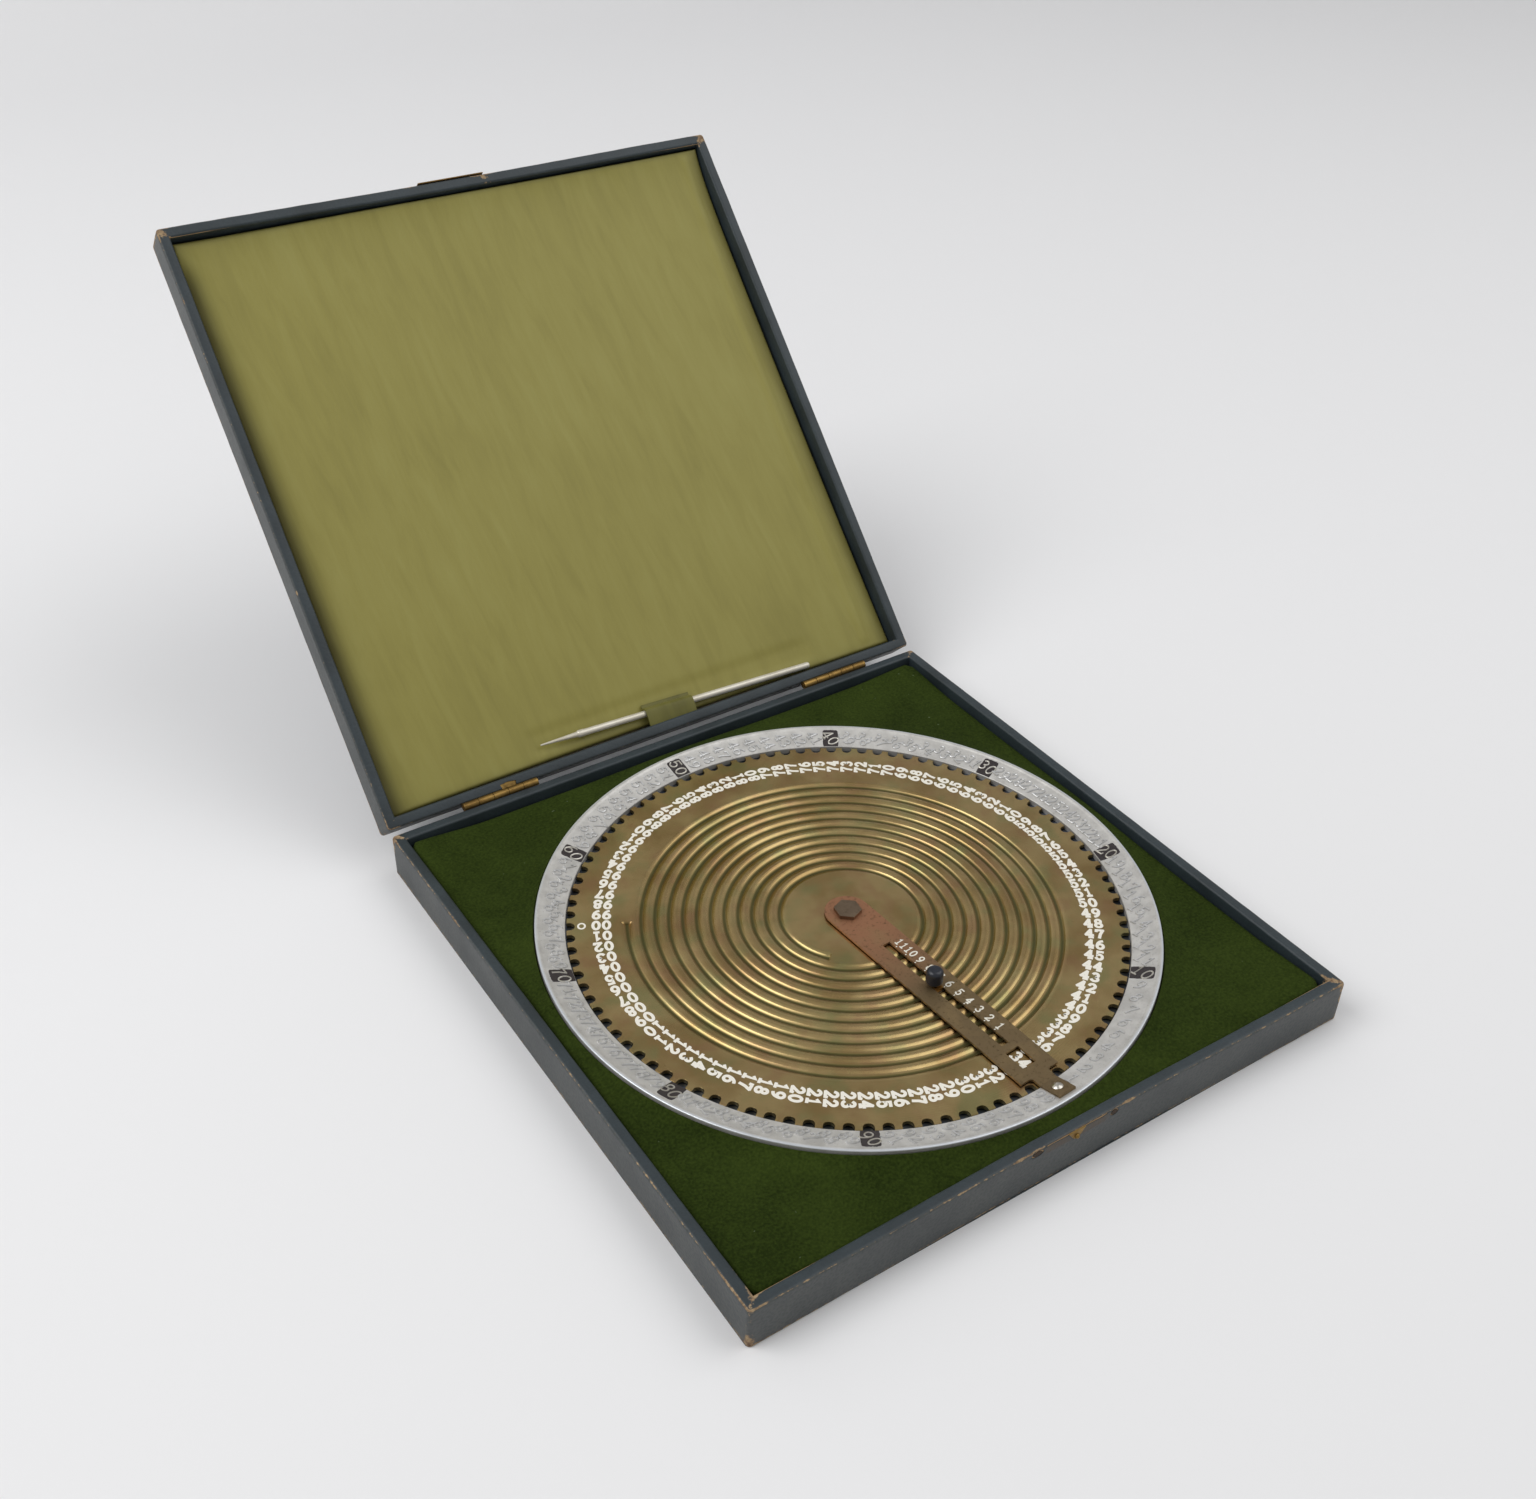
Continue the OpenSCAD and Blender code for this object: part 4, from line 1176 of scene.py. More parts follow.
    def _lid(self, leather: bpy.types.Material) -> None:
        """Builds the covering of the lid, cut for the hinges and worn through over the left leaf.

        Args:
            leather: The leatherette's material.
        """
        r = self.top_round
        ceiling = self.lid_top - self.lid_thick
        section = [(self.rim_width, ceiling, 0.0)]
        section += list(reversed(self.rim_section(self.lid_rim, -1, self.lid_top - r, ceiling - 2.0)))
        top = [
            (r - r * math.cos(a), self.lid_top - r + r * math.sin(a), 0.6 * math.sin(2 * a))
            for a in self.quarter()
        ]
        section += top[1:]
        section += [(4.0, self.lid_top, 0.0), (20.0, self.lid_top, 0.0), (60.0, self.lid_top, 0.0)]
        wide, deep, rim = self.half_width, self.half_depth, self.lid_rim
        scuffs = [
            ((11.0, -deep + 1.2, rim), 2.2, 0.65),
            ((-14.0, -deep + 0.6, rim), 1.4, 0.5),
            ((8.0, -deep + 0.5, rim), 1.3, 0.5),
            ((-wide + 1.0, -deep + 1.0, rim), 2.6, 0.3),
            ((-wide, -deep, self.lid_top - 3.0), 4.0, 0.25),
            ((wide - 1.0, -deep + 1.0, rim), 2.6, 0.45),
            ((-wide, -deep + 22.0, rim), 1.0, 0.4),
            ((-wide, 20.0, rim), 1.2, 0.35),
        ]
        builder = self.covering("lid_leatherette", section, self.opened, (len(section) - 1,), scuffs)
        inside, under = self.rim_width - self.cover, self.lid_rim + self.cover
        inner = [(inside, ceiling), (inside, under), (self.cover, under)]
        inner.append((self.cover, self.lid_top - self.cover))
        size = len(self.outline(0.0))
        start = len(builder.points)
        loops = [[self.opened(x, y, z) for (x, y), _ in self.outline(inset)] for inset, z in inner]
        points, faces = loft(loops, True, False)
        builder.add(points, faces)
        for attribute in ("wear", "handled", "soil"):
            builder.mark(attribute, [0.0] * len(points))
        builder.faces.extend((i, start + i, start + (i + 1) % size, (i + 1) % size) for i in range(size))
        builder.faces.append(tuple(range(len(builder.points) - size, len(builder.points))))
        piece = builder.build(leather, Body.LID, "leatherette", ["lid_covering"])
        cutters = self._hinge_cutters(self.opened, 1)
        patch = [(-56.9, 91.2), (-54.5, 90.9), (-51.8, 91.3), (-52.2, 93.4), (-56.4, 93.4)]
        cutters.append(_cutter([[self.opened(x, y, z) for x, y in patch] for z in (rim - 1.0, rim + 0.4)]))
        self._cutters(piece, cutters)


def _cutter(loops: Sequence[Sequence[Point]]) -> bpy.types.Object:
    """Makes a closed shape, for cutting, from two equal loops.

    Args:
        loops: The loops of points, in millimetres.

    Returns:
        The cutting shape.
    """
    points, faces = capped(loops)
    mesh = bpy.data.meshes.new("cutter")
    mesh.from_pydata([tuple(c * MM for c in p) for p in points], [], faces)
    face_outwards(mesh)
    cutter = bpy.data.objects.new("cutter", mesh)
    bpy.context.scene.collection.objects.link(cutter)
    return cutter


def dress(nodes: Sequence[str], material: bpy.types.Material) -> None:
    """Gives solids of the frame a finish.

    Args:
        nodes: The solids' names.
        material: The finish.
    """
    for name in nodes:
        mesh = frame["nodes"][name].data
        mesh.materials.clear()
        mesh.materials.append(material)
        LOG.info("%s: %s", name, material.name)


@dataclass
class Linings:
    """Velvet bed round the dial, and the padded silk in the lid with its loop for the stylus."""

    case: Case
    gap: float = 0.3
    velvet_thick: float = 2.3
    velvet_edge: float = 1.5
    ring_rise: float = 2.0
    ring_reach: float = 3.2
    corner_lift: float = 1.6
    silk_edge: float = 0.9
    silk_pull: float = 0.55
    silk_steps: int = 130
    loop_thick: float = 0.45

    def build(self) -> None:
        """Builds the velvet, the silk and the loop."""
        self._velvet()
        silk = WateredSilk().material()
        self._silk(silk)
        self._loop(STRAP_SILK.material())

    def _velvet(self) -> None:
        """Builds the velvet pad: rounded at its edges, and lifted by the tucks in its corners."""
        low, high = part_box("velvet_pad")
        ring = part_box("dial_ring")[1].x / MM
        wide, deep = high.x / MM, high.y / MM
        bottom = low.z / MM
        flat_top = bottom + self.velvet_thick
        inner = ring + self.gap
        steps, rows = 288, 22
        builder = MeshBuilder("velvet_bed")
        loops = []
        for i in range(steps):
            angle = math.tau * (i + 0.5) / steps
            cosine, sine = math.cos(angle), math.sin(angle)
            reach = min(wide / max(abs(cosine), 1e-6), deep / max(abs(sine), 1e-6))
            loop = [(inner * cosine, inner * sine, bottom)]
            for k in range(rows + 1):
                t = 0.5 - 0.5 * math.cos(math.pi * k / rows)
                r = inner + (reach - inner) * t
                x, y = r * cosine, r * sine
                from_edge = min(t, 1 - t) * (reach - inner)
                edge = min(self.velvet_edge if t > 0.5 else 0.5, 0.4 * (reach - inner))
                drop = round_over(from_edge, edge)
                corner = smoothstep(min(abs(x) / wide, abs(y) / deep), 0.72, 1.0)
                lift = self.corner_lift * corner * (1.0 if x < 0 else 0.75)
                wave = 0.16 * ripple(x, y, 16.0, 2.0) * smoothstep(from_edge, 0.5, 5.0)
                rise = self.ring_rise * math.exp(-(r - inner) / self.ring_reach)
                loop.append((x, y, flat_top - drop + lift + wave + rise))
            loop.append((reach * cosine, reach * sine, bottom))
            loops.append(loop)
        builder.add(*loft(loops, True, True))
        piece = builder.build(Velvet().material(), Body.CASE, "velvet", ["velvet_pad"], sharp=70)

    def _silk_height(self, s: float, t: float, wide: float, deep: float) -> float:
        """Returns how far the silk stands off its card.

        Args:
            s: Place across, from -1 to 1.
            t: Place from front to hinge, from -1 to 1.
            wide: Half the width of the pad.
            deep: Half the depth of the pad.

        Returns:
            The height in millimetres.
        """
        from_edge = min((1 - abs(s)) * wide, (1 - abs(t)) * deep)
        drop = round_over(from_edge, self.silk_edge)
        crown = 0.5 * (1 - s * s) * (1 - t * t)
        x, y = s * wide, t * deep
        near_edge = math.exp(-from_edge / 9.0)
        folded = ripple(x, y * 0.25, 7.0, 1.0) if abs(s) < abs(t) else ripple(x * 0.25, y, 7.0, 2.0)
        puckers = 0.28 * near_edge * folded
        swell = 0.22 * ripple(x, y * 0.5, 34.0, 5.0)
        near_front = math.exp(-(1 + t) * deep / 9.0) * (0.55 + 0.45 * smoothstep(s, -0.95, -0.2))
        under_stylus = smoothstep(abs(y - 82.9), 5.0, 1.5) * smoothstep(abs(x - 8.0), 54.0, 46.0)
        fold = 0.35 * math.exp(-(((x - 82.0 + 0.02 * y) / 1.6) ** 2)) * smoothstep(from_edge, 1.0, 4.0)
        valley = 1.3 * max(1 - (1 + s) * wide / 8.0, 0.0) ** 2 * smoothstep((1 + t) * deep, 0.0, 12.0)
        soft = (puckers + swell) * smoothstep(from_edge, 0.3, 3.0) * (1 - under_stylus)
        padding = self.case.silk_thick + crown - drop + soft
        return padding + 2.9 * near_front + fold - valley - 0.4 * under_stylus

    def _silk(self, silk: bpy.types.Material) -> None:
        """Builds the padded silk: crowned, drawn in between its corners and softly puckered.

        Args:
            silk: The silk's material.
        """
        case = self.case
        wide = case.half_width - case.rim_width - self.gap
        deep = case.half_depth - case.rim_width - self.gap
        back = case.lid_top - case.lid_thick - case.card_thick
        count = self.silk_steps
        builder = MeshBuilder("silk_lining")
        loops, lay, soiled_and_shaded = [], [], []
        for face in (1, 0):
            for i in range(count + 1):
                s = math.sin(math.pi / 2 * (2 * i / count - 1))
                for j in range(count + 1):
                    t = math.sin(math.pi / 2 * (2 * j / count - 1))
                    if face == 0 and 0 < i < count and 0 < j < count:
                        continue
                    x = s * (wide - self.silk_pull * (1 - t * t))
                    y = t * (deep - self.silk_pull * (1 - s * s))
                    height = self._silk_height(s, t, wide, deep) if face else 0.0
                    loops.append(case.opened(x, y, back - height))
                    lay.append((x * MM, y * MM, 0.0))
                    from_left, from_front = (1 + s) * wide, (1 + t) * deep
                    # Painted shade: a shadow of the left wall over the silk's left edge, fading out over
                    # about 4 mm, and darkening within a millimetre of every edge where the silk meets the
                    # walls. Along the right edge the silk is also coloured darker.
                    at_left = 0.75 * math.exp(-((from_left / 3.6) ** 2)) * smoothstep(from_front, 3.0, 14.0)
                    at_right = 0.45 * math.exp(-(((1 - s) * wide / 4.0) ** 2))
                    from_edge = min((1 - abs(s)) * wide, (1 - abs(t)) * deep)
                    soiled_and_shaded.append(max(at_left, at_right, 0.5 * math.exp(-(from_edge**2))))
        grid = count + 1
        faces = [
            (i * grid + j, (i + 1) * grid + j, (i + 1) * grid + j + 1, i * grid + j + 1)
            for i in range(count)
            for j in range(count)
        ]
        rim = [i * grid for i in range(count)] + [count * grid + j for j in range(count)]
        rim += [i * grid + count for i in range(count, 0, -1)] + list(range(count, 0, -1))
        under: dict[int, int] = {}
        index = grid * grid
        for i in range(grid):
            for j in range(grid):
                if 0 < i < count and 0 < j < count:
                    continue
                under[i * grid + j] = index
                index += 1
        for here, there in zip(rim, rim[1:] + rim[:1]):
            faces.append((here, there, under[there], under[here]))
        faces.append(tuple(under[i] for i in rim))
        builder.add(loops, faces)
        builder.mark("lay", lay)
        builder.mark("soil", soiled_and_shaded)
        piece = builder.build(silk, Body.LID, "silk", ["silk_pad"], sharp=75)

    def _loop(self, silk: bpy.types.Material) -> None:
        """Builds the strap over the stylus, from a foot on the silk to the lid's back wall.

        Args:
            silk: The strap's material.
        """
        path = StylusRod(self.case)
        inner, thick = path.radius + 0.25, self.loop_thick
        line = [(-inner - 1.6, -path.radius), (-inner - 0.5, -path.radius + 0.05)]
        line += [(-inner, -path.radius + 0.45), (-inner, -0.3)]
        line += [(-inner * math.cos(a), inner * math.sin(a)) for a in self.case.quarter()]
        line += [(1.6, inner + 0.05), (3.4, inner - 0.15), (5.0, inner - 0.25)]
        rows, lay = [], []
        builder = MeshBuilder("stylus_strap")
        steps = 14
        for i in range(steps + 1):
            along = path.loop_start + (path.loop_end - path.loop_start) * i / steps
            row, distance = [], 0.0
            outer = []
            for k, (w, h) in enumerate(line):
                before, after = line[max(k - 1, 0)], line[min(k + 1, len(line) - 1)]
                direction = _unit(before, after)
                sag = 0.05 * math.sin(3.1 * along) * (1 if 0 < k < len(line) - 1 else 0)
                row.append(path.at(along, w, h + sag))
                outer.append(path.at(along, w - direction[1] * thick, h + direction[0] * thick + sag))
                distance += math.dist(before, (w, h))
                lay.append((along * MM, distance * MM, 0.0))
            rows.append(row + outer[::-1])
            lay.extend(reversed(lay[-len(line):]))
        builder.add(*capped(rows))
        builder.mark("lay", lay)
        builder.build(silk, Body.LID, "silk", ["stylus_loop"], sharp=50)


@dataclass
class StylusRod:
    """Nickelled stylus: a turned rod with a collar and a long point, slid through its loop."""

    case: Case
    radius: float = 1.05
    gap: float = 0.3
    length: float = 95.8
    point: float = 12.3
    tip_x: float = -39.6
    tip_in: float = 5.8
    slant: float = math.radians(2.36)
    loop_start: float = 35.4
    loop_end: float = 52.0

    def at(self, along: float, across: float, out: float) -> Point:
        """Returns the place of a point by the stylus.

        Args:
            along: Distance from the tip.
            across: Distance from its axis towards the lid's back wall.
            out: Distance from its axis out of the lid.

        Returns:
            The point, with the lid open.
        """
        case = self.case
        y = case.half_depth - case.rim_width - self.tip_in
        z = case.lid_top - case.lid_thick - case.card_thick - case.silk_thick - self.gap - self.radius
        cosine, sine = math.cos(self.slant), math.sin(self.slant)
        x = self.tip_x + along * cosine - across * sine
        return case.opened(x, y + along * sine + across * cosine, z - out)

    def build(self) -> None:
        """Builds the stylus."""
        r, p = self.radius, self.point
        profile = [(0.0, 0.0), (0.2, 0.05), (0.27, 0.3), (r * 0.8, p - 0.4), (r * 0.86, p)]
        profile += [(r * 1.08, p + 0.25), (r * 1.1, p + 0.5), (r * 1.1, p + 2.0), (r * 1.02, p + 2.3)]
        profile += [(r, p + 2.6), (r, self.length - 0.5), (r * 0.9, self.length - 0.15)]
        profile += [(r * 0.7, self.length), (0.0, self.length)]
        builder = MeshBuilder("stylus_rod")
        loops = []
        for radius, distance in profile:
            ring = ellipse((0.0, 0.0), (max(radius, SPIKE), max(radius, SPIKE)), 40)
            loops.append([self.at(distance, w, h) for w, h in ring])
        builder.add(*capped(loops))
        builder.build(STYLUS_NICKEL.material(), Body.STYLUS, "nickel", ["stylus"], sharp=35)


@dataclass
class Dial:
    """Numbered ring, pressed from nickelled sheet, with its numbers raised and every tenth one enamelled."""

    slope: float = math.radians(15.2)
    step: float = 0.3
    lip: float = 1.3
    lip_rise: float = 0.35
    places: int = 100
    number_radius: float = 79.75
    inner: float = 76.5
    outer: float = field(init=False)
    edge_z: float = field(init=False)
    arm_angle: float = field(init=False)

    def __post_init__(self) -> None:
        """Reads the ring's sizes from the frame, and the arm's direction from the slider's joint."""
        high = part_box("dial_ring")[1]
        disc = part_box("adding_disc")[1]
        self.outer = high.x / MM
        self.edge_z = disc.z / MM + self.step
        joint = next(j for j in frame["joints"] if j["name"] == "slider_travel")
        self.arm_angle = math.atan2(joint["axis"][1], joint["axis"][0])

    def face_height(self, radius: float) -> float:
        """Returns the height of the numbered face at a radius."""
        return self.edge_z + (radius - self.inner) * math.tan(self.slope)

    def build(self) -> None:
        """Builds the ring, its numbers and its enamelled places."""
        self._ring(NICKEL_SHEET.material())
        self._numbers()
        dress(["backing_plate"], TRAY_NICKEL.material())
        dress(["centre_post", "friction_washer", "centre_screw"], BROWNED_STEEL.material())
        dress(["arm_rivet"], BRIGHT_RIVET.material())

    def _ring(self, nickel: bpy.types.Material) -> None:
        """Builds the ring: inner edge, numbered slope, rounded lip and skirt.

        Args:
            nickel: The ring's material.
        """
        low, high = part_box("dial_ring")
        bottom, crest = low.z / MM, high.z / MM
        plate_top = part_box("backing_plate")[1].z / MM
        slope_end = self.outer - self.lip
        r = self.lip_rise
        faced = (self.inner + 0.12, self.inner + 2.0, slope_end - 0.3)
        profile = [(self.inner, plate_top), (self.inner, self.edge_z - 0.12)]
        profile += [(radius, self.face_height(radius)) for radius in faced]
        profile += [(slope_end, self.face_height(slope_end) + 0.05)]
        profile += [(slope_end + 0.3, crest - 0.04), (slope_end + 0.5, crest)]
        profile += arc((self.outer - r, crest - r), (r, r), 90, 0, 6)
        profile += [(self.outer, bottom), (self.outer - 1.8, bottom), (self.outer - 1.8, bottom + 0.3)]
        profile += [(self.outer - 0.6, bottom + 0.3), (self.outer - 0.6, crest - 1.0)]
        profile += [(self.inner + 0.6, self.edge_z - 0.6), (self.inner + 0.6, plate_top)]
        builder = MeshBuilder("numbered_ring")
        steps = 720
        builder.add(*turned(profile, steps))
        # The top of the outer lip is coloured bright: partly rubbed, partly a painted highlight along the
        # lip.
        polished_and_highlit = [0.85 if radius > self.outer - 0.75 and z > crest - 0.25 else 0.0 for radius, z in profile]
        builder.mark("polish", polished_and_highlit * steps)
        builder.build(nickel, Body.CASE, "nickel", ["dial_ring"], sharp=32)

    def _on_face(self, angle: float, turn: float) -> Place:
        """Returns a placing on the sloping face, for writing along the arm's direction.

        Args:
            angle: Direction of the number's middle.
            turn: Small turn of the number from that direction.

        Returns:
            A function that puts a point of the number on the face.
        """
        centre = (self.number_radius * math.cos(angle), self.number_radius * math.sin(angle))
        across = (math.cos(self.arm_angle + turn), math.sin(self.arm_angle + turn))

        def place(x: float, y: float, h: float) -> Point:
            """Puts a point of the number on the face."""
            px = centre[0] + x * across[0] - y * across[1]
            py = centre[1] + x * across[1] + y * across[0]
            return px, py, self.face_height(math.hypot(px, py)) + h

        return place

    def _numbers(self) -> None:
        """Builds the raised numbers and the enamelled places under every tenth one."""
        plain = MeshBuilder("ring_numbers")
        tens = MeshBuilder("ring_tens")
        enamel = MeshBuilder("ring_enamel")
        pressed = Numerals(width=2.6, height=3.7, advance=2.75, stroke=0.52, relief=0.34, lean=0.35)
        large = Numerals(width=2.7, height=3.8, advance=2.95, stroke=0.46, relief=0.24, lean=0.3)
        for number in range(1, self.places):
            angle = self.arm_angle + math.tau * number / self.places
            turn = 0.12 * ripple(number * 7.3, 0.0, 1.0, 3.0)
            if number % 10:
                plain.add(*pressed.write(str(number), self._on_face(angle, turn)))
                continue
            tens.add(*large.write(str(number), self._on_face(angle, turn)))
            enamel.add(*self._enamel_place(angle, number))
        plain.build(RAISED_NUMERALS.material(), Body.CASE, "nickel", sharp=50)
        tens.build(RUBBED_NUMERALS.material(), Body.CASE, "nickel", sharp=50)
        enamel.build(BLACK_ENAMEL.material(), Body.CASE, "dark_brass", sharp=50)

    def _enamel_place(self, angle: float, seed: int) -> tuple[list[Point], list[Face]]:
        """Returns a brushed patch of enamel, over the inner edge and most of the slope.

        Args:
            angle: Direction of the patch's middle.
            seed: Number that picks its uneven edge.

        Returns:
            The points and the faces.
        """
        half, inner, outer = 2.55, self.inner + 0.1, self.outer - self.lip - 0.15
        columns, rows = 16, 10
        loops = []
        for i in range(columns + 1):
            t = 2 * i / columns - 1
            loop = []
            for j in range(rows + 1):
                u = j / rows
                squeeze = 1 - 0.07 * (2 * u - 1) ** 6
                uneven = 0.2 * ripple(u * 9.0, t * 2.0, 1.0, seed * 1.7) * abs(t)
                side = half * t * squeeze + uneven
                end = 0.25 * ripple(t * 5.0, u, 1.0, seed * 2.3) - 0.5 * abs(t) ** 6
                radius = inner + (outer - inner) * u + end * u**4
                a = angle + side / radius
                within = min(1 - abs(t), 1 - u) > 1e-6
                height = self.face_height(radius) + (0.05 if within else -0.05)
                loop.append((radius * math.cos(a), radius * math.sin(a), height))
            loops.append(loop)
        return loft(loops, False, False)


@dataclass
class AddingDisc:
    """Notched brass disc with its spiral groove and its painted numbers."""

    dial: Dial
    edge_gap: float = 0.3
    notch_radius: float = 1.45
    notch_depth: float = 2.25
    thickness: float = 1.15
    pitch: float = 3.76
    turns: float = 11.18
    spiral_inset: float = 16.28
    groove_half: float = 1.0
    groove_depth: float = 0.7
    land_crown: float = 0.2
    run_out: float = 1.0
    reading: int = 634
    number_radius: float = 66.8
    bush: float = 5.02
    radius: float = field(init=False)
    top: float = field(init=False)
    start: float = field(init=False)
    zero_angle: float = field(init=False)
    lead: float = field(init=False)

    def __post_init__(self) -> None:
        """Works out the disc's places from the ring and the reading.

        The groove runs out a little past the pin's places at both of its ends.
        """
        self.radius = self.dial.inner - self.edge_gap
        self.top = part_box("adding_disc")[1].z / MM
        self.start = self.radius - self.spiral_inset
        self.lead = self.run_out / self.start
        tail = self.run_out / (self.start - self.pitch * self.turns)
        self.start += self.pitch * self.lead / math.tau
        self.turns += (self.lead + tail) / math.tau
        self.zero_angle = self.dial.arm_angle - math.tau * self.reading / self.dial.places

    def build(self) -> None:
        """Builds the disc and its numbers."""
        brass = TurnedBrass().material()
        self._disc(brass)
        self._numbers()
        dress(["disc_bush"], brass)

    def _at(self, radius: float, angle: float, z: float) -> Point:
        """Returns a point of the disc from its own angle, counted from the groove's outer end."""
        a = self.zero_angle + angle
        return radius * math.cos(a), radius * math.sin(a), z

    def _groove(self, offset: float, angle: float) -> tuple[float, float]:
        """Returns the depth below the face, and the dirt, beside the groove.

        Args:
            offset: Distance from the groove's middle.
            angle: Angle along the groove in radians, from its outer end.

        Returns:
            The depth in millimetres, and the share of dirt.
        """
        last = self.turns * math.tau
        from_end = min(angle * self.start, (last - angle) * (self.start - self.pitch * self.turns))
        fade = smoothstep(from_end, 0.0, 0.4)
        half = self.groove_half * (1 + 0.25 * math.exp(-((from_end / 0.9) ** 2)))
        side = (self.pitch / 2 - max(abs(offset), half)) / (self.pitch / 2 - half)
        trough = 0.5 + 0.5 * math.cos(math.pi * min(abs(offset) / half, 1.0) ** 1.3)
        depth = self.land_crown * side**2 + (self.groove_depth - self.land_crown) * trough
        return depth * fade, 0.85 * smoothstep(trough, 0.35, 1.0) * fade

    def _disc(self, brass: bpy.types.Material) -> None:
        """Builds the disc as one closed shape, finest along the groove.

        Args:
            brass: The disc's material.
        """
        builder = MeshBuilder("grooved_disc")
        offsets = [0.0, 0.18, 0.36, 0.54, 0.72, 0.88, 1.0, 1.15, 1.35, 1.6, self.pitch / 2]
        offsets = [-o for o in reversed(offsets[1:])] + offsets
        steps = 240
        end = math.tau * self.turns
        finer = [math.tau * k / (4 * steps) for k in range(1, 4)]
        angles = [math.tau * i / steps for i in range(int(self.turns * steps) + 1)]
        angles = sorted(angles + finer + [end - step for step in finer] + [end])
        loops, dirt = [], []
        for angle in angles:
            middle = self.start - self.pitch * angle / math.tau
            loop = []
            for offset in offsets:
                depth, mark = self._groove(offset, angle)
                loop.append(self._at(middle + offset, angle - self.lead, self.top - depth))
                dirt.append(mark)
            loops.append(loop)
        builder.add(*loft(loops, False, False))
        builder.mark("hollow", dirt)
        self._band(builder, steps)
        self._centre(builder, steps)
        builder.build(brass, Body.DISC, "disc_brass", ["adding_disc"], sharp=35)

    def _band(self, builder: MeshBuilder, steps: int) -> None:
        """Adds the number band outside the groove, with the notched edge and the back.

        Args:
            builder: The disc's mesh.
            steps: The number of steps round.
        """
        inner_edge = self.radius - self.notch_depth - 0.6
        loops = []
        for i in range(steps + 1):
            angle = math.tau * i / steps
            first = self.start + self.pitch / 2 - self.pitch * i / steps
            radii = [first + (inner_edge - first) * t for t in (0.0, 0.5, 1.0)]
            loops.append([self._at(radius, angle - self.lead, self.top) for radius in radii])
        points, faces = loft(loops, False, False)
        builder.add(points, faces)
        builder.mark("hollow", [0.0] * len(points))
        pitch_angle = math.tau / self.dial.places
        centre = self.radius - self.notch_depth + self.notch_radius
        outline: list[Flat] = []
        marks: list[Flat] = []
        mouth = math.asin(self.notch_radius / self.radius)
        half = pitch_angle / 2
        curve = arc((centre, 0.0), (self.notch_radius, self.notch_radius), 270, 90, 12)
        whole = [(-half, self.radius), (-(half + mouth) / 2, self.radius)]
        whole += [(-mouth - 0.0015, self.radius), (-mouth, self.radius - 0.12)]
        whole += [(math.atan2(y, x), math.hypot(x, y)) for x, y in curve]
        whole += [(mouth, self.radius - 0.12), (mouth + 0.0015, self.radius)]
        whole.append(((half + mouth) / 2, self.radius))
        for k in range(self.dial.places):
            middle = k * pitch_angle
            for index, (a, r) in enumerate(whole):
                outline.append((middle + a, r))
                marks.append((middle - half + pitch_angle * index / len(whole), inner_edge))
        count = len(outline)
        bevel = 0.1
        inset = []
        for (a, r), (b, q) in zip(outline, marks):
            reach = max(r - q, 0.3)
            inset.append((a + (b - a) * bevel / reach, r - bevel))
        back_edge = self.top - self.thickness
        rows = [[self._at(q, b, self.top) for b, q in marks], [self._at(r, a, self.top) for a, r in inset]]
        rows.append([self._at(r, a, self.top - bevel) for a, r in outline])
        rows.append([self._at(r, a, back_edge) for a, r in outline])
        rows.append([self._at(q, b, back_edge) for b, q in marks])
        rows.append([self._at(self.bush, b, back_edge) for b, _ in marks])
        points, faces = loft(rows, True, False)
        builder.add(points, faces)
        builder.mark("hollow", [0.0] * (2 * count) + [0.3] * (4 * count))

    def _centre(self, builder: MeshBuilder, steps: int) -> None:
        """Adds the flat middle, from the groove's last turn to the bore.

        Args:
            builder: The disc's mesh.
            steps: The number of steps round.
        """
        end = self.turns * math.tau
        loops = []
        for i in range(steps + 1):
            angle = end - math.tau * i / steps
            last = self.start - self.pitch / 2 - self.pitch * angle / math.tau
            corners = [(last, self.top), ((last + self.bush) / 2, self.top)]
            corners += [(self.bush, self.top), (self.bush, self.top - self.thickness)]
            loops.append([self._at(radius, angle - self.lead, z) for radius, z in corners])
        points, faces = loft(loops, False, False)
        builder.add(points, faces)
        builder.mark("hollow", [0.0] * len(points))

    def _numbers(self) -> None:
        """Builds the painted numbers, which read outwards, and the ring that marks the start."""
        builder = MeshBuilder("disc_numbers")
        painted = Numerals(width=2.8, height=3.85, advance=2.8, stroke=0.84, relief=0.035, sink=0.02)
        for number in range(self.dial.places):
            angle = math.tau * number / self.dial.places
            builder.add(*painted.write(f"{number:02d}", self._on_band(angle, self.number_radius)))
        mark = Numerals(width=2.6, height=2.6, advance=2.6, stroke=0.5, relief=0.035, sink=0.02)
        builder.add(*mark.write("0", self._on_band(0.0, self.number_radius + 5.3)))
        builder.build(CREAM_PAINT.material(), Body.DISC, "disc_brass", sharp=60)

    def _on_band(self, angle: float, radius: float) -> Place:
        """Returns a placing on the number band, for writing outwards.

        Args:
            angle: Direction of the number's middle, from the groove's outer end.
            radius: The middle's distance from the disc's centre.

        Returns:
            A function that puts a point of the number on the band.
        """

        def place(x: float, y: float, h: float) -> Point:
            """Puts a point of a number on the band."""
            reach = math.hypot(radius + x, y)
            return self._at(reach, angle + math.atan2(y, radius + x), self.top + h)

        return place


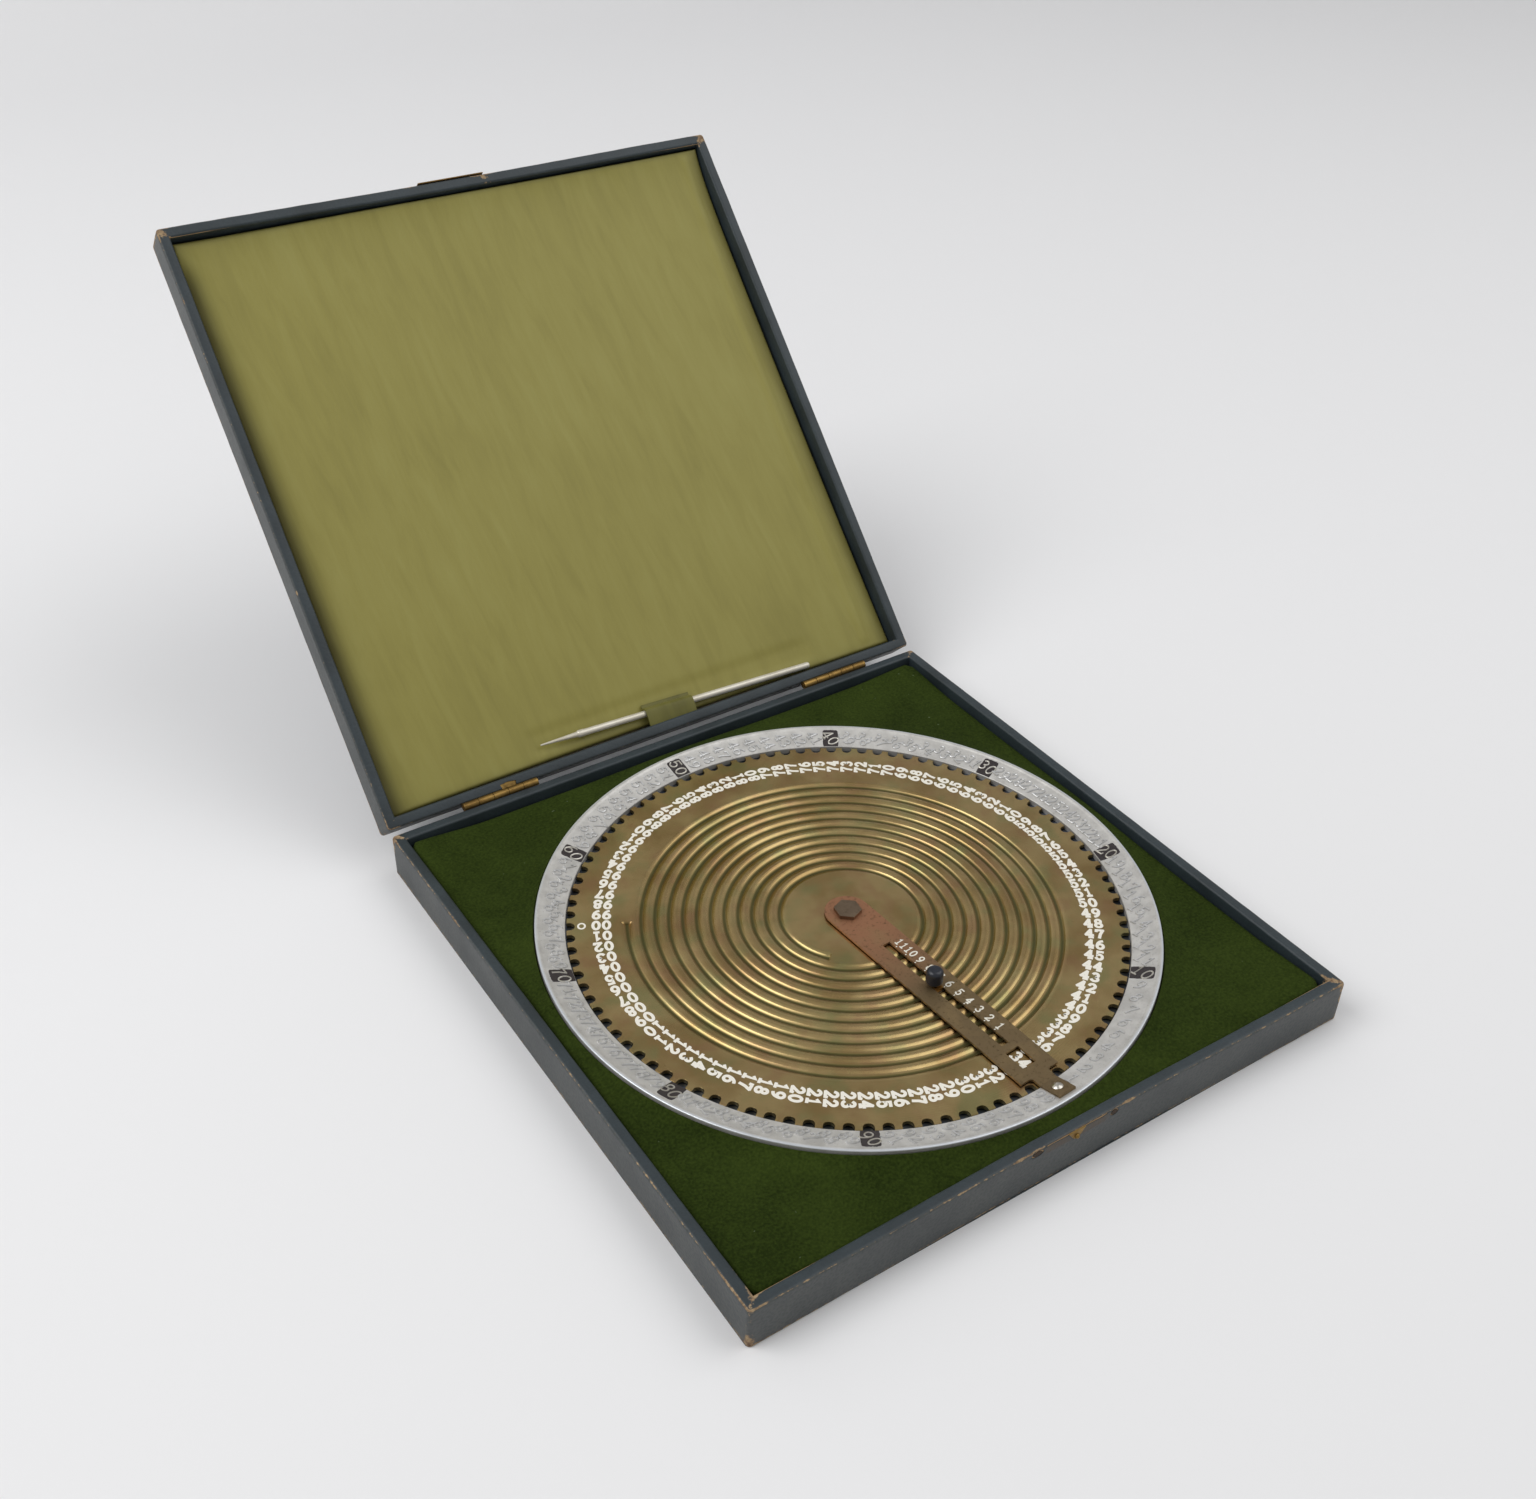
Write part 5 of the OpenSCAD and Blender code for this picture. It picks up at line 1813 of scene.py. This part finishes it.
@dataclass
class Counter:
    """Counter arm with its painted scale, and the slider with its bead."""

    dial: Dial
    disc: AddingDisc
    arm_gap: float = 0.04
    arm_thick: float = 0.6
    arm_top: float = field(init=False)

    def __post_init__(self) -> None:
        """Works out the arm's height."""
        self.arm_top = self.dial.edge_z + self.arm_gap + self.arm_thick

    def build(self) -> None:
        """Builds the scale and the bead, and dresses the arm and the slider."""
        dress(["counter_arm"], WornLacquer().material())
        dress(["hundreds_slider"], SLIDER_BRASS.material())
        dress(["follower_pin"], PIN_STEEL.material())
        soften("counter_arm", 0.1)
        soften("centre_screw", 0.25)
        self._scale()
        self._bead()

    def _along_arm(self, u: float, v: float, z: float) -> Point:
        """Returns a point from its place along and across the arm."""
        a = self.dial.arm_angle
        return u * math.cos(a) - v * math.sin(a), u * math.sin(a) + v * math.cos(a), z

    def _scale(self) -> None:
        """Builds the painted hundreds, 1 to 11, and their marks beside the slot."""
        builder = MeshBuilder("arm_scale")
        figures = Numerals(width=1.75, height=2.7, advance=1.9, stroke=0.42, relief=0.03, sink=0.02)
        for hundred in range(1, 12):
            u = self.disc.start - self.disc.pitch * hundred - 0.1

            def place(x: float, y: float, h: float, middle: float = u) -> Point:
                """Puts a point of a figure on the arm."""
                return self._along_arm(middle + x, 3.35 + y, self.arm_top + h)

            builder.add(*figures.write(str(hundred), place))
            mark = [(u - 0.13, 1.25), (u + 0.13, 1.25), (u + 0.13, 1.7), (u - 0.13, 1.7)]
            loops = [[self._along_arm(x, y, self.arm_top + h) for x, y in mark] for h in (-0.02, 0.03)]
            builder.add(*capped(loops))
        builder.build(WHITE_PAINT.material(), Body.CASE, "dark_brass", sharp=60)

    def _bead(self) -> None:
        """Builds the bead: a short dark barrel with a slightly domed top."""
        low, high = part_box("slider_bead")
        centre = (low + high) / 2 / MM
        radius, height = 1.08 * (high.x - low.x) / 2 / MM, (high.z - low.z) / MM
        r = 1.25
        profile = [(0.0, 0.0)] + arc((radius - r, r), (r, r), -90, 0, 8)
        profile += arc((radius - r, height - r), (r, r), 0, 90, 8) + [(0.0, height)]
        loops = []
        for reach, z in profile:
            ring = ellipse((centre.x, centre.y), (max(reach, SPIKE), max(reach, SPIKE)), 48)
            loops.append([(x, y, low.z / MM + z) for x, y in ring])
        builder = MeshBuilder("black_bead")
        builder.add(*capped(loops))
        builder.build(BLACK_GLASS.material(), Body.SLIDER, "bead_glass", ["slider_bead"])


def soften(node: str, width: float) -> None:
    """Rounds the sharp edges of one of the frame's solids, without touching its mesh.

    Args:
        node: The solid's name.
        width: The width of the rounding in millimetres.
    """
    bevel = frame["nodes"][node].modifiers.new("soft_edges", "BEVEL")
    bevel.width = width * MM
    bevel.segments = 2
    bevel.limit_method = "ANGLE"
    bevel.angle_limit = math.radians(50)
    bevel.harden_normals = False


@dataclass
class Studio:
    """Pale floor and backdrop, soft lamps, and the camera of the photograph."""

    camera_place: Point = (-214.36, -272.79, 320.37)
    camera_turn: Point = (53.567, -1.221, -33.486)
    lens: float = 39.8166
    floor_colour: str = "#e9e9ea"
    world_level: float = 0.46

    def build(self) -> None:
        """Builds the stage."""
        self._camera()
        self._world()
        self._floor()
        self._lamp("left_softbox", (-950.0, 385.0, 1225.0), size=1000.0, power=12.0)
        self._lamp("right_softbox", (820.0, -320.0, 1290.0), size=1200.0, power=7.0)

    def _camera(self) -> None:
        """Makes the camera."""
        data = bpy.data.cameras.new("camera")
        data.lens = self.lens
        data.sensor_width = 36.0
        data.clip_start, data.clip_end = 0.01, 20.0
        camera = bpy.data.objects.new("camera", data)
        camera.location = [c * MM for c in self.camera_place]
        camera.rotation_euler = [math.radians(a) for a in self.camera_turn]
        bpy.context.scene.collection.objects.link(camera)
        bpy.context.scene.camera = camera
        bpy.context.scene.view_settings.view_transform = "Standard"

    def _world(self) -> None:
        """Makes the even light of the room."""
        world = bpy.data.worlds.new("room")
        world.use_nodes = True
        background = world.node_tree.nodes["Background"]
        background.inputs["Color"].default_value = linear("#ffffff")
        background.inputs["Strength"].default_value = self.world_level
        bpy.context.scene.world = world

    def _floor(self) -> None:
        """Makes the floor, which rises into a backdrop behind the object."""
        half, start, bend, height = 2500.0, 900.0, 500.0, 2500.0
        line = [(-half, 0.0), (start, 0.0), *arc((start, bend), (bend, bend), -90, 0, 24)[1:]]
        line.append((start + bend, height))
        loops = [[(x, y, z) for y, z in line] for x in (-half, half)]
        points, faces = loft(loops, False, False)
        mesh = bpy.data.meshes.new("floor")
        mesh.from_pydata([tuple(c * MM for c in p) for p in points], [], faces)
        mesh.shade_smooth()
        paper = Surface("paper_backdrop")
        values = {"Base Color": linear(self.floor_colour), "Roughness": 0.9, "Specular IOR Level": 0.1}
        for name, value in values.items():
            paper.shader.inputs[name].default_value = value
        mesh.materials.append(paper.material)
        floor = bpy.data.objects.new("floor", mesh)
        bpy.context.scene.collection.objects.link(floor)

    def _lamp(self, name: str, place: Point, size: float, power: float) -> None:
        """Adds a soft square lamp that faces the object.

        Args:
            name: The lamp's name.
            place: Its place.
            size: The length of its side.
            power: Its power in watts.
        """
        data = bpy.data.lights.new(name, "AREA")
        data.size = size * MM
        data.energy = power
        lamp = bpy.data.objects.new(name, data)
        lamp.location = [c * MM for c in place]
        towards = Vector((0.0, 50.0, 0.0)) - Vector(place)
        lamp.rotation_euler = towards.to_track_quat("-Z", "Y").to_euler()
        bpy.context.scene.collection.objects.link(lamp)


def main() -> None:
    """Builds the stage and the adder, sub-assembly by sub-assembly."""
    logging.basicConfig(level=logging.INFO, format="%(name)s: %(message)s")
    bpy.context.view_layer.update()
    Studio().build()
    case = Case()
    case.build()
    Linings(case).build()
    StylusRod(case).build()
    dial = Dial()
    dial.build()
    disc = AddingDisc(dial)
    disc.build()
    Counter(dial, disc).build()


if __name__ == "__main__":
    main()
